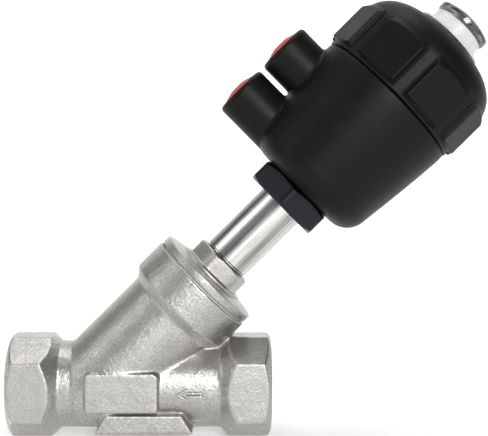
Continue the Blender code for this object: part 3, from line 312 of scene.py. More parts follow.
# ---- Node material helpers ----------------------------------------------------------------------
class Shader:
    """A Principled material with short ways to add noise, ramps and bumps to it."""

    def __init__(self, name, roughness, metallic=0.0):
        self.material = bpy.data.materials.new(name)
        self.material.use_nodes = True
        self.tree = self.material.node_tree
        self.surface = self.tree.nodes["Principled BSDF"]
        self.surface.inputs["Roughness"].default_value = roughness
        self.surface.inputs["Metallic"].default_value = metallic
        self.place = self.node("ShaderNodeTexCoord").outputs["Object"]

    def node(self, kind, **settings):
        node = self.tree.nodes.new(kind)
        for key, value in settings.items():
            setattr(node, key, value)
        return node

    def link(self, source, node, name):
        self.tree.links.new(source, node.inputs[name])

    def stretched(self, stretch):
        """The place in the stem's frame, with its axes scaled by stretch."""
        mapping = self.node("ShaderNodeMapping", vector_type="TEXTURE")
        mapping.inputs["Rotation"].default_value = STEM.to_euler()
        mapping.inputs["Scale"].default_value = [1 / share for share in stretch]
        self.link(self.place, mapping, "Vector")
        return mapping.outputs["Vector"]

    def noise(self, size, detail=3.0, stretch=(1, 1, 1)):
        """Noise whose lumps are about size across."""
        node = self.node("ShaderNodeTexNoise")
        node.inputs["Scale"].default_value = 1 / size
        node.inputs["Detail"].default_value = detail
        self.link(self.stretched(stretch), node, "Vector")
        return node.outputs["Fac"]

    def edges(self, low, high):
        """Nothing in hollows and one on worn edges."""
        return self.between(self.node("ShaderNodeNewGeometry").outputs["Pointiness"], low, high, 0.0, 1.0)

    def between(self, factor, from_low, from_high, to_low, to_high):
        node = self.node("ShaderNodeMapRange")
        limits = {"From Min": from_low, "From Max": from_high, "To Min": to_low, "To Max": to_high}
        for name, value in limits.items():
            node.inputs[name].default_value = value
        self.link(factor, node, "Value")
        return node.outputs["Result"]

    def mixed(self, factor, first, second):
        """A colour between two, either of which may be a socket."""
        node = self.node("ShaderNodeMix", data_type="RGBA")
        self.link(factor, node, 0)
        for index, colour in ((6, first), (7, second)):
            if isinstance(colour, tuple):
                node.inputs[index].default_value = (*colour, 1)
            else:
                self.link(colour, node, index)
        return node.outputs[2]

    def summed(self, first, second, share=1.0):
        node = self.node("ShaderNodeMath", operation="MULTIPLY_ADD")
        self.link(second, node, 0)
        node.inputs[1].default_value = share
        self.link(first, node, 2)
        return node.outputs[0]

    def colour(self, socket):
        self.link(socket, self.surface, "Base Color")

    def roughness(self, factor, low, high, to_low, to_high):
        self.link(self.between(factor, low, high, to_low, to_high), self.surface, "Roughness")

    def bump(self, height, depth, strength=1.0):
        """Raises the surface by depth where height is one."""
        node = self.node("ShaderNodeBump")
        node.inputs["Distance"].default_value = depth
        node.inputs["Strength"].default_value = strength
        self.link(height, node, "Height")
        self.link(node.outputs["Normal"], self.surface, "Normal")


# ---- Materials ----------------------------------------------------------------------------------
def cast_steel():
    """Bead-blasted stainless casting: fine grain, pale worn edges, and painted shade that darkens the
    hollows.
    """
    s = Shader("blasted_steel", 0.42, metallic=1.0)
    grain = s.noise(0.5 * MM, 4)
    blotches = s.noise(7 * MM, 3)
    body = s.mixed(s.between(blotches, 0.3, 0.7, 0, 1), (0.48, 0.47, 0.445), (0.58, 0.57, 0.545))
    speckled = s.mixed(s.between(grain, 0.35, 0.7, 0, 1), body, (0.30, 0.29, 0.27))
    # Painted shade: the steel's colour turns dark in hollows and inside corners, where shade falls.
    painted_shade_in_hollows = s.mixed(s.edges(0.42, 0.49), (0.22, 0.21, 0.195), speckled)
    s.colour(s.mixed(s.edges(0.53, 0.66), painted_shade_in_hollows, (0.72, 0.71, 0.69)))
    s.roughness(grain, 0.3, 0.7, 0.30, 0.46)
    s.bump(s.summed(grain, s.noise(1.4 * MM, 2), 0.8), 0.16 * MM, 0.8)
    return s.material


def drawn_steel(name, colour, roughness):
    """Polished drawn steel, with painted reflections as broad dark bands along the stem's axis, and fine
    scratches along it.
    """
    s = Shader(name, roughness, metallic=1.0)
    # Painted reflection: broad dark bands along the axis stand in for the studio's reflections; the
    # scratches are the steel's own.
    painted_reflection_bands = s.noise(2.6 * MM, 1, stretch=(1, 1, 0.01))
    scratches = s.noise(0.5 * MM, 4, stretch=(1, 1, 0.03))
    reflection_bands_and_scratches = s.summed(painted_reflection_bands, scratches, 0.5)
    darker = tuple(0.35 * c for c in colour)
    # The colour darkens along the painted reflection bands and along the real scratches.
    s.colour(s.mixed(s.between(reflection_bands_and_scratches, 0.55, 0.95, 0, 1), colour, darker))
    s.roughness(scratches, 0.3, 0.7, roughness * 0.7, roughness * 1.6)
    s.bump(reflection_bands_and_scratches, 0.05 * MM, 0.6)
    return s.material


def moulded(name, colour, lighter, roughness, grain_size, depth, specular=0.5):
    """Moulded plastic with a spark-eroded grain and slight rubbing on its edges."""
    s = Shader(name, roughness)
    s.surface.inputs["Specular IOR Level"].default_value = specular
    grain = s.noise(grain_size, 3)
    clouds = s.noise(9 * MM, 3)
    base = s.mixed(s.between(clouds, 0.3, 0.7, 0, 1), colour, tuple(1.35 * c for c in colour))
    s.colour(s.mixed(s.edges(0.56, 0.72), base, lighter))
    s.roughness(s.summed(grain, clouds, 0.5), 0.5, 1.0, roughness * 0.85, roughness * 1.2)
    s.bump(grain, depth, 0.6)
    return s.material


def clear_plastic(name, colour, roughness, transmission=1.0):
    """Clear or milky moulded plastic with faint flow lines and a trace of dust."""
    s = Shader(name, roughness)
    s.surface.inputs["Transmission Weight"].default_value = transmission
    s.surface.inputs["IOR"].default_value = 1.49
    dust = s.noise(1.2 * MM, 4)
    dusty = tuple(min(1.0, 0.9 * c + 0.04) for c in colour)
    s.colour(s.mixed(s.between(dust, 0.4, 0.75, 0, 1), colour, dusty))
    s.roughness(dust, 0.4, 0.8, roughness, roughness + 0.12)
    s.bump(s.noise(1.5 * MM, 2, stretch=(1, 1, 0.15)), 0.01 * MM, 0.5)
    return s.material


def metal(name, colour, roughness, size):
    """Machined metal with fine turning marks across local Z."""
    s = Shader(name, roughness, metallic=1.0)
    marks = s.noise(size, 3, stretch=(0.2, 0.2, 1))
    s.colour(s.mixed(s.between(marks, 0.3, 0.7, 0, 1), colour, tuple(0.7 * c for c in colour)))
    s.roughness(marks, 0.3, 0.7, roughness * 0.8, roughness * 1.3)
    s.bump(marks, 0.015 * MM, 0.5)
    return s.material


def make_materials():
    return {
        "cast_steel": cast_steel(),
        "tube_steel": drawn_steel("drawn_tube_steel", (0.78, 0.77, 0.75), 0.2),
        "machined_steel": metal("turned_steel", (0.62, 0.61, 0.59), 0.22, 0.3 * MM),
        "spring_steel": metal("drawn_spring_steel", (0.30, 0.30, 0.32), 0.32, 0.4 * MM),
        "black_plastic": moulded(
            "black_polyamide",
            (0.0040, 0.0044, 0.0036),
            (0.022, 0.023, 0.020),
            roughness=0.44,
            grain_size=0.35 * MM,
            depth=0.03 * MM,
            specular=0.13,
        ),
        "nut_plastic": moulded(
            "black_nut_plastic",
            (0.0040, 0.0044, 0.0080),
            (0.022, 0.024, 0.034),
            roughness=0.34,
            grain_size=0.6 * MM,
            depth=0.012 * MM,
            specular=0.25,
        ),
        "red_plastic": moulded(
            "red_polyethylene",
            (0.36, 0.008, 0.012),
            (0.42, 0.02, 0.022),
            roughness=0.42,
            grain_size=0.5 * MM,
            depth=0.02 * MM,
            specular=0.15,
        ),
        "white_polymer": moulded(
            "white_ptfe", (0.74, 0.74, 0.71), (0.85, 0.85, 0.83), 0.45, 0.6 * MM, 0.01 * MM
        ),
        "black_rubber": moulded(
            "black_nitrile", (0.012, 0.012, 0.012), (0.03, 0.03, 0.03), 0.6, 0.25 * MM, 0.02 * MM
        ),
        "clear_plastic": clear_plastic("frosted_clear_plastic", (0.93, 0.94, 0.94), 0.3, 0.45),
        "smoked_plastic": clear_plastic("smoked_clear_plastic", (0.30, 0.31, 0.33), 0.06),
        "anodised_aluminium": metal("anodised_aluminium", (0.62, 0.63, 0.65), 0.34, 0.5 * MM),
        "brass": metal("turned_brass", (0.66, 0.45, 0.18), 0.25, 0.4 * MM),
    }


def finished(obj, name):
    """Gives a piece its material."""
    obj.data.materials.clear()
    obj.data.materials.append(MATERIALS[name])
    return obj


MATERIALS = make_materials()

# ---- Valve body ---------------------------------------------------------------------------------
NECK_R = 17.4 * MM
BORE_R = 12.5 * MM
SOCKET_R = 15.15 * MM
SOCKET_DEPTH = 17 * MM
THREAD_PITCH = 2.309 * MM
THREAD_DEPTH = 1.3 * MM
END_WIDTH = 17.3 * MM
END_FLATS = 41 * MM
END_TRIM = 20 * MM
END_FACE_R = 18.6 * MM
ARM_R = 20 * MM
ARM_TOP = 41.5 * MM
COLLAR_R = 23.3 * MM
COLLAR_CONE = 4 * MM
CHAMBER_R = 16.5 * MM
COLLAR_BORE_R = 19.8 * MM
SEAT_HEIGHT = 10 * MM
SEAT_BORE_R = 11 * MM
SEAT_LIP_R = 12.5 * MM
SEAT_WALL = 4 * MM
CHAMBER_TOP = 46.2 * MM
COLLAR_TOP = 58.4 * MM
ARM_LOW_Z = -13.5 * MM  # of the flat under the arm's round end
FOOT_Z = -17.5 * MM
FOOT_EDGE_Z = -16.3 * MM
FOOT_TOP_Z = -9.3 * MM
FOOT_HALF_WIDTH = 18.2 * MM
SOLE_HALF_WIDTH = 14 * MM
FOOT_LEFT_X = -17.3 * MM
FOOT_RIGHT_X = 21.1 * MM
FOOT_DRAFT = 4.2 * MM
PLATE_LEFT_X = -20.9 * MM
PLATE_RIGHT_X = 7.6 * MM
PLATE_HALF_HEIGHT = 7.7 * MM
PLATE_PROUD = 0.5 * MM
BORE_REACH = 30 * MM  # of each bore's cutter past the middle
FAR = 90 * MM  # past the whole body
CASTING_VOXEL = 0.45 * MM


def hexagon_radii(angles, flats, corner_r, turn):
    """The radii of a hexagon with rounded corners, one of them at the angle turn."""
    from_flat = (angles - turn) % (math.pi / 3) - math.pi / 6
    return soft_min(flats / 2 / np.cos(from_flat), corner_r, 0.8 * MM)


def threaded_hole(name, face, side):
    """The cutter of a pipe thread: a helical ridge that runs out towards the bore."""
    angles = np.linspace(0, 2 * math.pi, 96, endpoint=False)
    floor = face - SOCKET_DEPTH
    rows = [(0.0005 * MM, floor)]
    for height in np.arange(floor, face, 0.2 * MM):
        turn = (height / THREAD_PITCH - angles / (2 * math.pi)) % 1
        ridge = 1 - np.abs(2 * turn - 1) * 1.4
        chamfer = max(height - (face - 1.3 * MM), 0)
        depth = THREAD_DEPTH * np.clip(ridge, 0, 0.85) * min(1, (height - floor) / (2 * MM))
        rows.append((np.maximum(SOCKET_R - 0.5 * MM + depth, SOCKET_R + chamfer), height))
    rows += [(SOCKET_R + 2.3 * MM, face + 1 * MM), (0.0005 * MM, face + 1 * MM)]
    mirrored = [(radii, side * height) for radii, height in rows]
    return polar(name, angles, mirrored, PIPE)


def run_of_pipe(face):
    """The neck and the two hexagonal ends, bevelled towards their faces and towards the neck."""
    corner_r = END_FLATS / math.sqrt(3)
    inner = face - END_WIDTH
    half = [
        (NECK_R, inner + NECK_R - END_FLATS / 2),
        (corner_r, inner + corner_r - END_FLATS / 2),
        (corner_r, face - (corner_r - END_FACE_R) * math.tan(math.pi / 6)),
        (END_FACE_R, face),
        (0, face),
    ]
    run = turned("run", [(r, -h) for r, h in reversed(half)] + half, PIPE)
    slope = (corner_r - END_TRIM) / math.tan(math.pi / 3)
    corners = []
    for k in range(6):
        angle = k * math.pi / 3
        if k % 3 == 0:
            side = -1 if k else 1
            corners += [(side * END_TRIM, -side * slope * 3), (side * END_TRIM, side * slope * 3)]
        else:
            corners.append((corner_r * math.cos(angle), corner_r * math.sin(angle)))
    return combined(run, "INTERSECT", [block("hexagon", corners, -face - MM, face + MM, PIPE)])


def hull(name, corners):
    bm = bmesh.new()
    verts = [bm.verts.new(p) for p in corners]
    bmesh.ops.convex_hull(bm, input=verts)
    return linked(name, mesh_from(name, bm), Matrix())


def casting_foot():
    top_x = (FOOT_LEFT_X + FOOT_DRAFT, FOOT_RIGHT_X - FOOT_DRAFT)
    edge_x = (FOOT_LEFT_X, FOOT_RIGHT_X)
    edge_y = (-FOOT_HALF_WIDTH, FOOT_HALF_WIDTH)
    corners = [(x, y, FOOT_TOP_Z) for x in top_x for y in edge_y]
    corners += [(x, y, FOOT_EDGE_Z) for x in edge_x for y in edge_y]
    corners += [(x, y, FOOT_Z) for x in edge_x for y in (-SOLE_HALF_WIDTH, SOLE_HALF_WIDTH)]
    return hull("foot", corners)


def casting_plate():
    face = ARM_R + PLATE_PROUD
    outline = rounded(
        [
            (PLATE_LEFT_X, -PLATE_HALF_HEIGHT, 0.8 * MM),
            (PLATE_RIGHT_X, -PLATE_HALF_HEIGHT, 1.2 * MM),
            (PLATE_RIGHT_X, PLATE_HALF_HEIGHT, 2.0 * MM),
            (PLATE_LEFT_X, PLATE_HALF_HEIGHT, 0.8 * MM),
        ]
    )
    upright = Matrix.Rotation(math.pi / 2, 4, "X")
    return block("plates", outline, -face, face, upright)


def far_square():
    return [(-FAR, -FAR), (FAR, -FAR), (FAR, FAR), (-FAR, FAR)]


def casting_arm(top):
    ball = arc((0, 0), (ARM_R, ARM_R), -90, 0, 24)
    ball[0] = (0, -ARM_R)
    outline = ball + [
        (ARM_R, ARM_TOP),
        (COLLAR_R, ARM_TOP + COLLAR_CONE),
        (COLLAR_R, top),
        (0, top),
    ]
    arm = turned("arm", outline, STEM)
    return combined(arm, "DIFFERENCE", [block("ground", far_square(), -FAR, ARM_LOW_Z, Matrix())])


def passages(face, top):
    """The threaded sockets, the bores up to the slanting seat wall, and the stem's chamber."""
    floor = face - SOCKET_DEPTH
    cutters = []
    for side, name, height in ((-1, "left", SEAT_HEIGHT - SEAT_WALL), (1, "right", SEAT_HEIGHT - MM)):
        start, end = -side * BORE_REACH, side * (floor + MM)
        bore = [(0, start), (BORE_R, start), (BORE_R, end), (0, end)]
        low, high = (-FAR, height) if side < 0 else (height, FAR)
        kept = block(f"{name}_side", far_square(), low, high, STEM)
        cutters.append(combined(turned(f"{name}_bore", bore, PIPE), "INTERSECT", [kept]))
        cutters.append(threaded_hole(f"{name}_socket", face, side))
    chamber = [
        (0, SEAT_HEIGHT - SEAT_WALL - 4 * MM),
        (SEAT_BORE_R, SEAT_HEIGHT - SEAT_WALL - 4 * MM),
        (SEAT_BORE_R, SEAT_HEIGHT),
        (SEAT_LIP_R, SEAT_HEIGHT),
        (SEAT_LIP_R, SEAT_HEIGHT - MM),
        (CHAMBER_R, SEAT_HEIGHT - MM),
        (CHAMBER_R, CHAMBER_TOP),
        (COLLAR_BORE_R, CHAMBER_TOP),
        (COLLAR_BORE_R, top - 1.6 * MM),
        (COLLAR_BORE_R + 1.8 * MM, top - 1 * MM),
        (COLLAR_BORE_R + 1.8 * MM, top + MM),
        (0, top + MM),
    ]
    return cutters + [turned("chamber", chamber, STEM)]


def roughened(obj, size, depth):
    """Pushes a fine surface in and out by a cloud pattern."""
    clouds = bpy.data.textures.new(f"{obj.name}_clouds", "CLOUDS")
    clouds.noise_scale = size
    modifier = obj.modifiers.new("roughness", "DISPLACE")
    modifier.texture = clouds
    modifier.texture_coords = "LOCAL"
    modifier.strength = depth
    modifier.mid_level = 0.5
    return applied(obj)


def inside_box(obj, low, high):
    """Presses what stands out of a box back to its sides."""
    write_points(obj, np.clip(points_of(obj), low, high))


def valve_body():
    low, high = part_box("valve_body")
    face = high.x
    top = COLLAR_TOP
    body = run_of_pipe(face)
    body = combined(body, "UNION", [casting_arm(top), casting_foot(), casting_plate()])
    body = combined(body, "DIFFERENCE", passages(face, top))
    body.data.transform(body.matrix_world)
    body.matrix_world = Matrix()
    remeshed(body, CASTING_VOXEL)
    points = points_of(body)
    from_stem = points - np.array(STEM_ROOT)
    along = from_stem @ np.array(STEM_AXIS)
    beside_neck = np.hypot(points[:, 1], points[:, 2]) < 24 * MM
    junction = beside_neck & (along > 4 * MM) & (points[:, 2] > 4 * MM)
    softened(body, 24, np.where(junction, 0.5, 0.06), 0.0)
    softened(body, 2, 0.3, 0.3)
    roughened(body, 2.5 * MM, 0.16 * MM)
    inside_box(body, low, high)
    body.name = "valve_body_casting"
    return finished(stands_for(body, "valve_body"), "cast_steel")


def tube(name, points, radius, matrix, sides=10, closed=False):
    """A round bar along points, which may run into itself."""
    points = [Vector(p) for p in points]
    count = len(points)
    rings = []
    side = None
    for k, point in enumerate(points):
        before = points[k - 1] if k or closed else point
        after = points[(k + 1) % count] if k < count - 1 or closed else point
        along = (after - before).normalized()
        side = (side or along.orthogonal()) - along * (side or along.orthogonal()).dot(along)
        side.normalize()
        other = along.cross(side)
        turns = [2 * math.pi * j / sides for j in range(sides)]
        rings.append([point + (side * math.cos(a) + other * math.sin(a)) * radius for a in turns])
    if not closed:
        rings = [[points[0]]] + rings + [[points[-1]]]
    return linked(name, mesh_from(name, grid_solid(rings)), matrix)


# ---- Flow arrow ---------------------------------------------------------------------------------
ARROW_TIP_X = 15.2 * MM
ARROW_HEAD = 3.7 * MM
ARROW_LENGTH = 9.5 * MM
ARROW_DROP = 1.0 * MM  # below the pipe's axis
ARROW_HALF_HEIGHT = 2.15 * MM
ARROW_SHAFT = 0.65 * MM
ARROW_LINE = 0.45 * MM
ARROW_PROUD = 0.42 * MM


def flow_arrow(name, side):
    """The raised outline of an arrow cast on one side of the neck."""
    tip, neck, tail = ARROW_TIP_X, ARROW_TIP_X + ARROW_HEAD, ARROW_TIP_X + ARROW_LENGTH
    path = [
        (tip, 0),
        (neck, ARROW_HALF_HEIGHT),
        (neck, ARROW_SHAFT),
        (tail, ARROW_SHAFT),
        (tail, -ARROW_SHAFT),
        (neck, -ARROW_SHAFT),
        (neck, -ARROW_HALF_HEIGHT),
    ]
    points = []
    for (x, z), (next_x, next_z) in zip(path, path[1:] + path[:1]):
        steps = max(2, round(math.hypot(next_x - x, next_z - z) / (0.5 * MM)))
        for k in range(steps):
            across = x + (next_x - x) * k / steps
            height = z + (next_z - z) * k / steps - ARROW_DROP
            points.append((across, side * math.sqrt((NECK_R + ARROW_PROUD) ** 2 - height**2), height))
    arrow = tube(name, points, ARROW_LINE, Matrix(), 8, closed=True)
    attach(arrow, "valve")
    return finished(arrow, "cast_steel")


# ---- Bonnet and stem tube -----------------------------------------------------------------------
FLANGE_R = 22.9 * MM
FLANGE_LOW = 59.2 * MM
FLANGE_RIM = 3.2 * MM
FLANGE_TOP = 63.3 * MM
BONNET_FLATS = 23 * MM
BONNET_CORNER_R = 12.5 * MM
BONNET_HEX_TURN = math.radians(-113)


def bonnet():
    low, top, _ = span("bonnet")
    angles = np.linspace(0, 2 * math.pi, 240, endpoint=False)
    hexagon = hexagon_radii(angles, BONNET_FLATS, BONNET_CORNER_R, BONNET_HEX_TURN)
    step = FLANGE_TOP + 1.1 * MM
    round_part = rounded(
        [
            (5.6 * MM, low, 0),
            (19.4 * MM, low, 0.5 * MM),
            (19.4 * MM, FLANGE_LOW, 0),
            (FLANGE_R, FLANGE_LOW, 0.35 * MM),
            (FLANGE_R, FLANGE_LOW + FLANGE_RIM, 0.5 * MM),
            (18 * MM, FLANGE_TOP, 0.5 * MM),
            (14.6 * MM, FLANGE_TOP, 0.5 * MM),
            (14.6 * MM, step, 0.5 * MM),
            (13.8 * MM, step, 0),
        ]
    )
    rows = round_part
    for share in np.linspace(0, 1, 7):
        flare = 0.9 * MM * (1 - math.sqrt(1 - (1 - share) ** 2))
        rows.append((hexagon + flare, step + 0.9 * MM * share))
    for height in np.linspace(step + 1.3 * MM, top, 24):
        bevel = BONNET_FLATS / 2 - 0.2 * MM + (top - height) / math.tan(math.pi / 6)
        rows.append((soft_min(hexagon, bevel, 0.35 * MM), height))
    rows += [(10 * MM, top), (9.5 * MM, top - 0.5 * MM), (9.5 * MM, 54.7 * MM), (5.6 * MM, 54.7 * MM)]
    return finished(stands_for(polar("bonnet_cover", angles, rows, STEM), "bonnet"), "cast_steel")


def stem_tube():
    low, top, collar_r = span("stem_tube")
    shoulder = span("bonnet")[1] + 0.3 * MM
    outline = rounded(
        [
            (6.2 * MM, low, 0),
            (9.0 * MM, low, 0.4 * MM),
            (9.0 * MM, shoulder, 0),
            (9.7 * MM, shoulder, 0.1 * MM),
            (9.7 * MM, shoulder + 0.5 * MM, 0.15 * MM),
            (10.2 * MM, shoulder + 0.9 * MM, 0.3 * MM),
            (10.2 * MM, top - 3.8 * MM, 0.2 * MM),
            (collar_r, top - 3.8 * MM, 0.3 * MM),
            (collar_r, top, 0.3 * MM),
            (7.6 * MM, top, 0.3 * MM),
            (7.6 * MM, low + 2 * MM, 0),
            (6.2 * MM, low + 2 * MM, 0),
        ]
    )
    obj = turned("polished_tube", outline, STEM, 160)
    return finished(stands_for(obj, "stem_tube"), "tube_steel")


# ---- Swivel nut ---------------------------------------------------------------------------------
NUT_FLATS = 32 * MM
NUT_CORNER_R = 18.1 * MM
NUT_HEX = 9.6 * MM
NUT_HEX_TURN = math.radians(-95)


def swivel_nut():
    low, top, _ = span("swivel_nut")
    hex_top = low + NUT_HEX
    angles = np.linspace(0, 2 * math.pi, 300, endpoint=False)
    hexagon = hexagon_radii(angles, NUT_FLATS, NUT_CORNER_R, NUT_HEX_TURN)
    rows = [(10.5 * MM, hex_top + 2.2 * MM), (10.5 * MM, low + 0.5 * MM), (11 * MM, low)]
    for height in np.linspace(low, hex_top, 40):
        from_end = min(height - low, hex_top - height)
        bevel = NUT_FLATS / 2 - 0.35 * MM + from_end / math.tan(math.pi / 6)
        rows.append((soft_min(hexagon, bevel, 0.5 * MM), height))
    rows += rounded(
        [
            (14.4 * MM, hex_top, 0),
            (14.4 * MM, top, 0.3 * MM),
            (12.9 * MM, top, 0.3 * MM),
            (12.9 * MM, hex_top + 2.2 * MM, 0),
        ]
    )
    return finished(stands_for(polar("union_nut", angles, rows, STEM), "swivel_nut"), "nut_plastic")


# ---- Actuator housing ---------------------------------------------------------------------------
HOUSING_R = 31.7 * MM
HOUSING_BASE_R = 28.3 * MM
HOUSING_FLAT_R = 18.5 * MM
HOUSING_EDGE = 10 * MM
RIM_BAND = 2.6 * MM
PORT_R = 11 * MM
PORT_BORE_R = 5.9 * MM
PORT_RECESS_R = 8.3 * MM
CYLINDER_R = 25 * MM
HOUSING_VOXEL = 0.42 * MM
PLUGS = ("lower_port_plug", "upper_port_plug")


def port_face():
    """How far the air ports' faces are from the stem's axis."""
    to_stem = STEM.inverted()
    return -min((to_stem @ v.co).x for v in frame["nodes"]["housing"].data.vertices)


def housing():
    low, top, _ = span("housing")
    rim = span("cap")[0] - 0.3 * MM
    face = port_face()
    edge_top = low + HOUSING_EDGE
    outline = [(0, low), (HOUSING_FLAT_R, low)]
    outline += arc((HOUSING_FLAT_R, edge_top), (HOUSING_BASE_R - HOUSING_FLAT_R, HOUSING_EDGE), -90, 0, 16)
    for share in np.linspace(0.04, 1, 24):
        swell = (HOUSING_R - HOUSING_BASE_R) * (1 - share) ** 1.25
        outline.append((HOUSING_R - swell, edge_top + (rim - RIM_BAND - edge_top) * share))
    outline += [(HOUSING_R, rim), (28.4 * MM, rim), (28.4 * MM, top), (0, top)]
    shell = turned("shell", outline, STEM, 160)
    bosses, bores = [], []
    for plug in PLUGS:
        port = port_matrix(plug)
        boss = rounded(
            [
                (0, 15 * MM, 0),
                (PORT_R, 15 * MM, 0),
                (PORT_R, face - 0.3 * MM, 1.7 * MM),
                (6 * MM, face, 0),
                (0, face, 0),
            ]
        )
        bosses.append(turned(f"{plug}_boss", boss, port, 96))
        bore = [
            (0, CYLINDER_R - MM),
            (2 * MM, CYLINDER_R - MM),
            (2 * MM, CYLINDER_R + 8 * MM),
            (PORT_BORE_R, CYLINDER_R + 8 * MM),
            (PORT_BORE_R, face - 1 * MM),
            (PORT_RECESS_R, face - 1 * MM),
            (PORT_RECESS_R, face + MM),
            (0, face + MM),
        ]
        bores.append(turned(f"{plug}_bore", bore, port, 64))
    cylinder = [
        (0, 123.0 * MM),
        (8.1 * MM, 123.0 * MM),
        (8.1 * MM, 127.0 * MM),
        (17 * MM, 127.0 * MM),
        (17 * MM, 118.5 * MM),
        (CYLINDER_R, 118.5 * MM),
        (CYLINDER_R, top + MM),
        (0, top + MM),
    ]
    socket = [(0, low - MM), (14.7 * MM, low - MM), (14.7 * MM, 121.3 * MM), (0, 121.3 * MM)]
    rod_hole = [(0, 120 * MM), (5.3 * MM, 120 * MM), (5.3 * MM, 124 * MM), (0, 124 * MM)]
    hollows = [turned("cylinder", cylinder, STEM), turned("socket", socket, STEM)]
    hollows.append(turned("rod_hole", rod_hole, STEM, 64))
    shell = combined(shell, "UNION", bosses)
    shell = combined(shell, "DIFFERENCE", hollows + bores)
    remeshed(shell, HOUSING_VOXEL)
    points = points_of(shell)
    outside = np.hypot(points[:, 0], points[:, 1]) > 27 * MM
    near_port = outside & (points[:, 0] < -12 * MM) & (points[:, 2] < rim - 1.5 * MM)
    softened(shell, 14, np.where(near_port, 0.5, 0.05), 0.02)
    softened(shell, 5, 0.35, 0.35)
    shell.name = "actuator_housing"
    return finished(stands_for(shell, "housing"), "black_plastic")


def port_plug(node):
    """A moulded transit plug: a domed head with a shallow ring, and a hollow shank."""
    port = port_matrix(node)
    face = port_face()
    seat = face - 0.7 * MM
    head = face + 1.25 * MM
    outline = rounded(
        [
            (0, seat + MM, 0),
            (4.2 * MM, seat + MM, 0),
            (4.2 * MM, seat - 7.6 * MM, 0),
            (5.6 * MM, seat - 7.6 * MM, 0.5 * MM),
            (5.6 * MM, seat, 0.2 * MM),
            (8 * MM, seat, 0.3 * MM),
            (8 * MM, face - 0.1 * MM, 0.25 * MM),
            (6.8 * MM, face + 0.2 * MM, 1 * MM),
            (4.4 * MM, head - 0.3 * MM, 2 * MM),
            (3.2 * MM, head, 0.4 * MM),
            (2.7 * MM, head - 0.35 * MM, 0.3 * MM),
            (0, head - 0.35 * MM, 0),
        ]
    )
    obj = turned(node.replace("port_plug", "transit_plug"), outline, port, 96)
    return finished(stands_for(obj, node), "red_plastic")


# ---- Cap ----------------------------------------------------------------------------------------
CAP_R = 32 * MM
CAP_SHOULDER = 182 * MM
DOME_FLAT_R = 14 * MM
DOME_RISE = 14 * MM
PAD_COUNT = 8
PAD_TURN = math.radians(18)
PAD_FACE = 32.6 * MM
PAD_HALF = math.radians(15.75)
PAD_LOW = 165.6 * MM
PAD_END = 184.5 * MM  # where the pads have run out into the dome
PAD_RUN_OUT = 0.7
PAD_SIDE_SLOPE = 2.2
PAD_LOW_SLOPE = 3
GROOVE_DEPTH = 0.45 * MM
GROOVE_AWAY = 0.9 * MM  # from the edge of a pad's face
GROOVE_HALF = 0.38 * MM


def dome_radius(height):
    """The cap's radius: straight up to its shoulder, then a quarter of an ellipse."""
    rise = max(height - CAP_SHOULDER, 0) / DOME_RISE
    return DOME_FLAT_R + (CAP_R - DOME_FLAT_R) * math.sqrt(1 - rise * rise)


def pads(angles, height, round_r):
    """How far the surface stands off the round cap: flat pads, with a groove round each."""
    pitch = 2 * math.pi / PAD_COUNT
    from_pad = np.abs((angles - PAD_TURN + pitch / 2) % pitch - pitch / 2)
    beside = (from_pad - PAD_HALF) * CAP_R
    below = PAD_LOW - height
    drop = PAD_SIDE_SLOPE * ramp(beside, 0.4 * MM) + PAD_LOW_SLOPE * ramp(np.asarray(below), 0.3 * MM)
    face = PAD_FACE / np.cos(from_pad) - drop
    left = PAD_RUN_OUT * ramp(np.asarray(PAD_END - height), 0.8 * MM)
    proud = soft_min(ramp(face - round_r, 0.4 * MM), left, 0.4 * MM)
    away = (np.maximum(beside, below) - GROOVE_AWAY) / GROOVE_HALF
    fade = np.clip((PAD_END - height) / (2 * MM), 0, 1)
    return np.maximum(proud, 0) - GROOVE_DEPTH * fade * np.exp(-away * away)


def cap():
    low, top, _ = span("cap")
    step = 2 * math.pi / PAD_COUNT
    edge = PAD_HALF / step
    columns = np.concatenate(
        [
            np.linspace(-0.5, -edge - 0.06, 6, endpoint=False),
            np.linspace(-edge - 0.06, -edge + 0.04, 10, endpoint=False),
            np.linspace(-edge + 0.04, edge - 0.04, 12, endpoint=False),
            np.linspace(edge - 0.04, edge + 0.06, 10, endpoint=False),
            np.linspace(edge + 0.06, 0.5, 6, endpoint=False),
        ]
    )
    angles = np.concatenate([PAD_TURN + (k + columns) * step for k in range(PAD_COUNT)])
    heights = np.concatenate(
        [
            np.array([low, low + 0.08 * MM, low + 0.2 * MM, low + 0.4 * MM]),
            np.linspace(PAD_LOW - 2.0 * MM, PAD_LOW + 0.5 * MM, 24),
            np.linspace(PAD_LOW + 1.5 * MM, 180 * MM, 10),
            np.linspace(180.3 * MM, 189 * MM, 36),
            np.linspace(189.3 * MM, 195.9 * MM, 20),
        ]
    )
    rows = []
    for height in heights:
        lip = 1 * MM * max(0.0, 1 - (height - low) / (0.7 * MM)) ** 2
        round_r = dome_radius(height) - lip
        rows.append((round_r + pads(angles, height, round_r), height))
    rows += rounded(
        [
            (15.9 * MM, top, 0),
            (12.6 * MM, top, 0.3 * MM),
            (12.6 * MM, 189.0 * MM, 0.3 * MM),
            (2.0 * MM, 189.0 * MM, 0),
            (2.0 * MM, 185.6 * MM, 0),
            (26.0 * MM, 185.6 * MM, 1 * MM),
            (26.0 * MM, 174.6 * MM, 0),
            (28.7 * MM, 174.6 * MM, 0),
            (28.7 * MM, low, 0.3 * MM),
        ]
    )
    return finished(stands_for(polar("spring_cap", angles, rows, STEM), "cap"), "black_plastic")


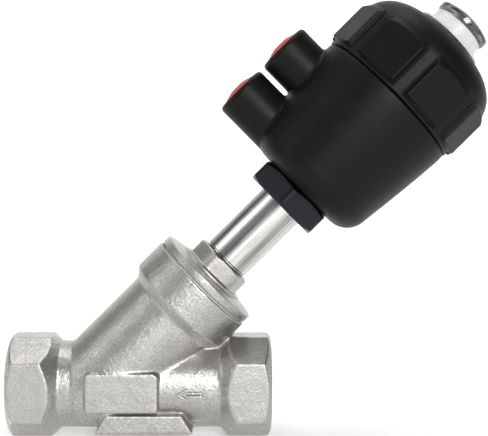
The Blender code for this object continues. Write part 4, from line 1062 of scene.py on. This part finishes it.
# ---- Sight dome and indicator -------------------------------------------------------------------
def sight_dome():
    low, top, _ = span("sight_dome")
    flange = low + 8.0 * MM
    collar = rounded(
        [
            (8.6 * MM, low, 0),
            (11.6 * MM, low, 0.4 * MM),
            (11.6 * MM, flange, 0.1 * MM),
            (15 * MM, flange, 0.3 * MM),
            (15 * MM, flange + 1.1 * MM, 0.4 * MM),
            (11.5 * MM, flange + 1.3 * MM, 0.5 * MM),
            (11.2 * MM, flange + 6.6 * MM, 0.2 * MM),
            (8.6 * MM, flange + 6.6 * MM, 0.2 * MM),
        ]
    )
    window_low = flange + 6.8 * MM
    window = rounded(
        [
            (8.6 * MM, window_low, 0.1 * MM),
            (11.5 * MM, window_low, 0.3 * MM),
            (12 * MM, window_low + 0.6 * MM, 0.3 * MM),
            (12 * MM, top - 2.0 * MM, 0.5 * MM),
            (9 * MM, top - 0.55 * MM, 3 * MM),
            (0, top, 0),
            (0, top - 2.6 * MM, 0),
            (8.6 * MM, top - 2.8 * MM, 0.6 * MM),
        ]
    )
    collar_piece = turned("sight_collar", collar, STEM, 144)
    finished(stands_for(collar_piece, "sight_dome"), "clear_plastic")
    window_piece = turned("sight_window", window, STEM, 144)
    finished(stands_for(window_piece, "sight_dome"), "smoked_plastic")


def dome_seal():
    low, high, outer_r = span("dome_seal")
    radius = (high - low) / 2
    ring = arc((outer_r - radius, (low + high) / 2), (radius, radius), 0, 345, 23)
    obj = turned("dome_o_ring", ring, STEM, 144)
    return finished(stands_for(obj, "dome_seal"), "black_rubber")


def indicator():
    low, top, radius = span("indicator_button")
    outline = rounded(
        [
            (1.8 * MM, low, 0),
            (radius, low, 0.4 * MM),
            (radius, top, 1 * MM),
            (3.6 * MM, top, 0.3 * MM),
            (3.2 * MM, top - 0.4 * MM, 0.3 * MM),
            (0, top - 0.4 * MM, 0),
            (0, low + 2.4 * MM, 0),
            (1.8 * MM, low + 2.4 * MM, 0),
        ]
    )
    obj = turned("travel_button", outline, STEM, 96)
    return finished(stands_for(obj, "indicator_button"), "red_plastic")


def spring(node, wire, turns):
    """A coil of wire with nearly flat end turns, in the place of a CAD spring."""
    low, high, outer_r = span(node)
    radius = outer_r - wire / 2
    steps = turns * 40
    points = []
    for k in range(steps + 1):
        angle = 2 * math.pi * turns * k / steps
        share = k / steps
        flat_ends = 0.8 / turns
        rise = np.clip((share - flat_ends) / (1 - 2 * flat_ends), 0, 1)
        height = low + wire / 2 + (high - low - wire) * (0.06 * share + 0.94 * rise)
        points.append((radius * math.cos(angle), radius * math.sin(angle), height))
    coil = tube(f"{node}_coil", points, wire / 2, Matrix(), 14)
    coil.data.transform(STEM)
    stands_for(coil, node)
    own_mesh(coil)
    return finished(coil, "spring_steel")


# ---- Carried-over CAD nodes ---------------------------------------------------------------------
def finish_cad_nodes():
    """Gives each CAD node that still shows the material of its slot in the record."""
    slots = {part["node"]: part["material_slot"] for part in frame["record"]["subparts"]}
    for name, node in frame["nodes"].items():
        if not node.hide_render:
            for place in node.material_slots:
                place.material = MATERIALS[slots[name]]


# ---- Stage --------------------------------------------------------------------------------------
PAPER_FRONT = 2.2
PAPER_FLAT = 0.7
PAPER_CURVE = 0.6
PAPER_HEIGHT = 2.6
PAPER_SIDE = 2.4


def stage_material():
    s = Shader("studio_paper", 0.9)
    s.surface.inputs["Emission Color"].default_value = (1, 1, 1, 1)
    s.surface.inputs["Emission Strength"].default_value = 0.26
    s.colour(s.mixed(s.noise(80 * MM, 2), (0.93, 0.93, 0.93), (0.96, 0.96, 0.96)))
    s.bump(s.noise(1.5 * MM, 2), 0.02 * MM, 0.3)
    return s.material


def floor():
    """A sheet of paper that curves up behind the valve."""
    ground = cad_box[0][2] - FLOOR_DROP
    profile = [(-PAPER_FRONT, ground), (PAPER_FLAT, ground)]
    for angle in np.linspace(0.1, 1.5, 16):
        rise = PAPER_CURVE * (1 - math.cos(angle))
        profile.append((PAPER_FLAT + PAPER_CURVE * math.sin(angle), ground + rise))
    profile.append((PAPER_FLAT + PAPER_CURVE + 0.04, ground + PAPER_HEIGHT))
    bm = bmesh.new()
    sides = [[bm.verts.new((x, y, z)) for y, z in profile] for x in (-PAPER_SIDE, PAPER_SIDE)]
    for k in range(len(profile) - 1):
        bm.faces.new((sides[0][k], sides[1][k], sides[1][k + 1], sides[0][k + 1]))
    sheet = linked("paper_sweep", mesh_from("paper_sweep", bm), Matrix())
    sheet.data.materials.append(stage_material())


def soft_light(name, place, aim, size, power):
    data = bpy.data.lights.new(name, "AREA")
    data.shape = "RECTANGLE"
    data.size, data.size_y = size
    data.energy = power
    light = bpy.data.objects.new(name, data)
    light.location = place
    light.rotation_euler = (Vector(aim) - Vector(place)).to_track_quat("-Z", "Y").to_euler()
    bpy.context.scene.collection.objects.link(light)


def studio():
    world = bpy.data.worlds.new("studio")
    world.use_nodes = True
    world.node_tree.nodes["Background"].inputs["Color"].default_value = (1, 1, 1, 1)
    world.node_tree.nodes["Background"].inputs["Strength"].default_value = 0.16
    bpy.context.scene.world = world
    middle = (0.03, 0, 0.06)
    soft_light("key", (0.28, -1.15, 0.42), middle, (0.45, 0.4), 11)
    soft_light("side", (-1.0, -0.45, 0.6), middle, (0.6, 0.9), 3.2)
    soft_light("top", (0.0, 0.15, 1.3), middle, (1.1, 0.7), 7.5)
    soft_light("backdrop", (0.0, 0.35, 0.75), (0.0, 1.3, 0.45), (1.6, 0.5), 6)
    scene = bpy.context.scene
    scene.view_settings.view_transform = "Standard"
    scene.view_settings.exposure = 0.0


def camera():
    azimuth, elevation = CAMERA_AZIMUTH, CAMERA_ELEVATION
    back = Vector(
        (
            math.sin(azimuth) * math.cos(elevation),
            -math.cos(azimuth) * math.cos(elevation),
            math.sin(elevation),
        )
    )
    right = Vector((0, 0, 1)).cross(back).normalized()
    up = back.cross(right)
    level = Matrix((right, up, back)).transposed().to_4x4()
    data = bpy.data.cameras.new("camera")
    data.lens = CAMERA_LENS
    data.sensor_width = 36
    view = bpy.data.objects.new("camera", data)
    view.matrix_world = Matrix.Translation(CAMERA_PLACE) @ level @ Matrix.Rotation(CAMERA_ROLL, 4, "Z")
    bpy.context.scene.collection.objects.link(view)
    bpy.context.scene.camera = view


# ---- The scene ----------------------------------------------------------------------------------
camera()
studio()
floor()
valve_body()
flow_arrow("flow_arrow_front", -1)
flow_arrow("flow_arrow_back", 1)
bonnet()
stem_tube()
swivel_nut()
housing()
for plug_node in PLUGS:
    port_plug(plug_node)
cap()
sight_dome()
dome_seal()
indicator()
spring("outer_spring", 3.2 * MM, 6)
spring("inner_spring", 2.5 * MM, 7)
finish_cad_nodes()
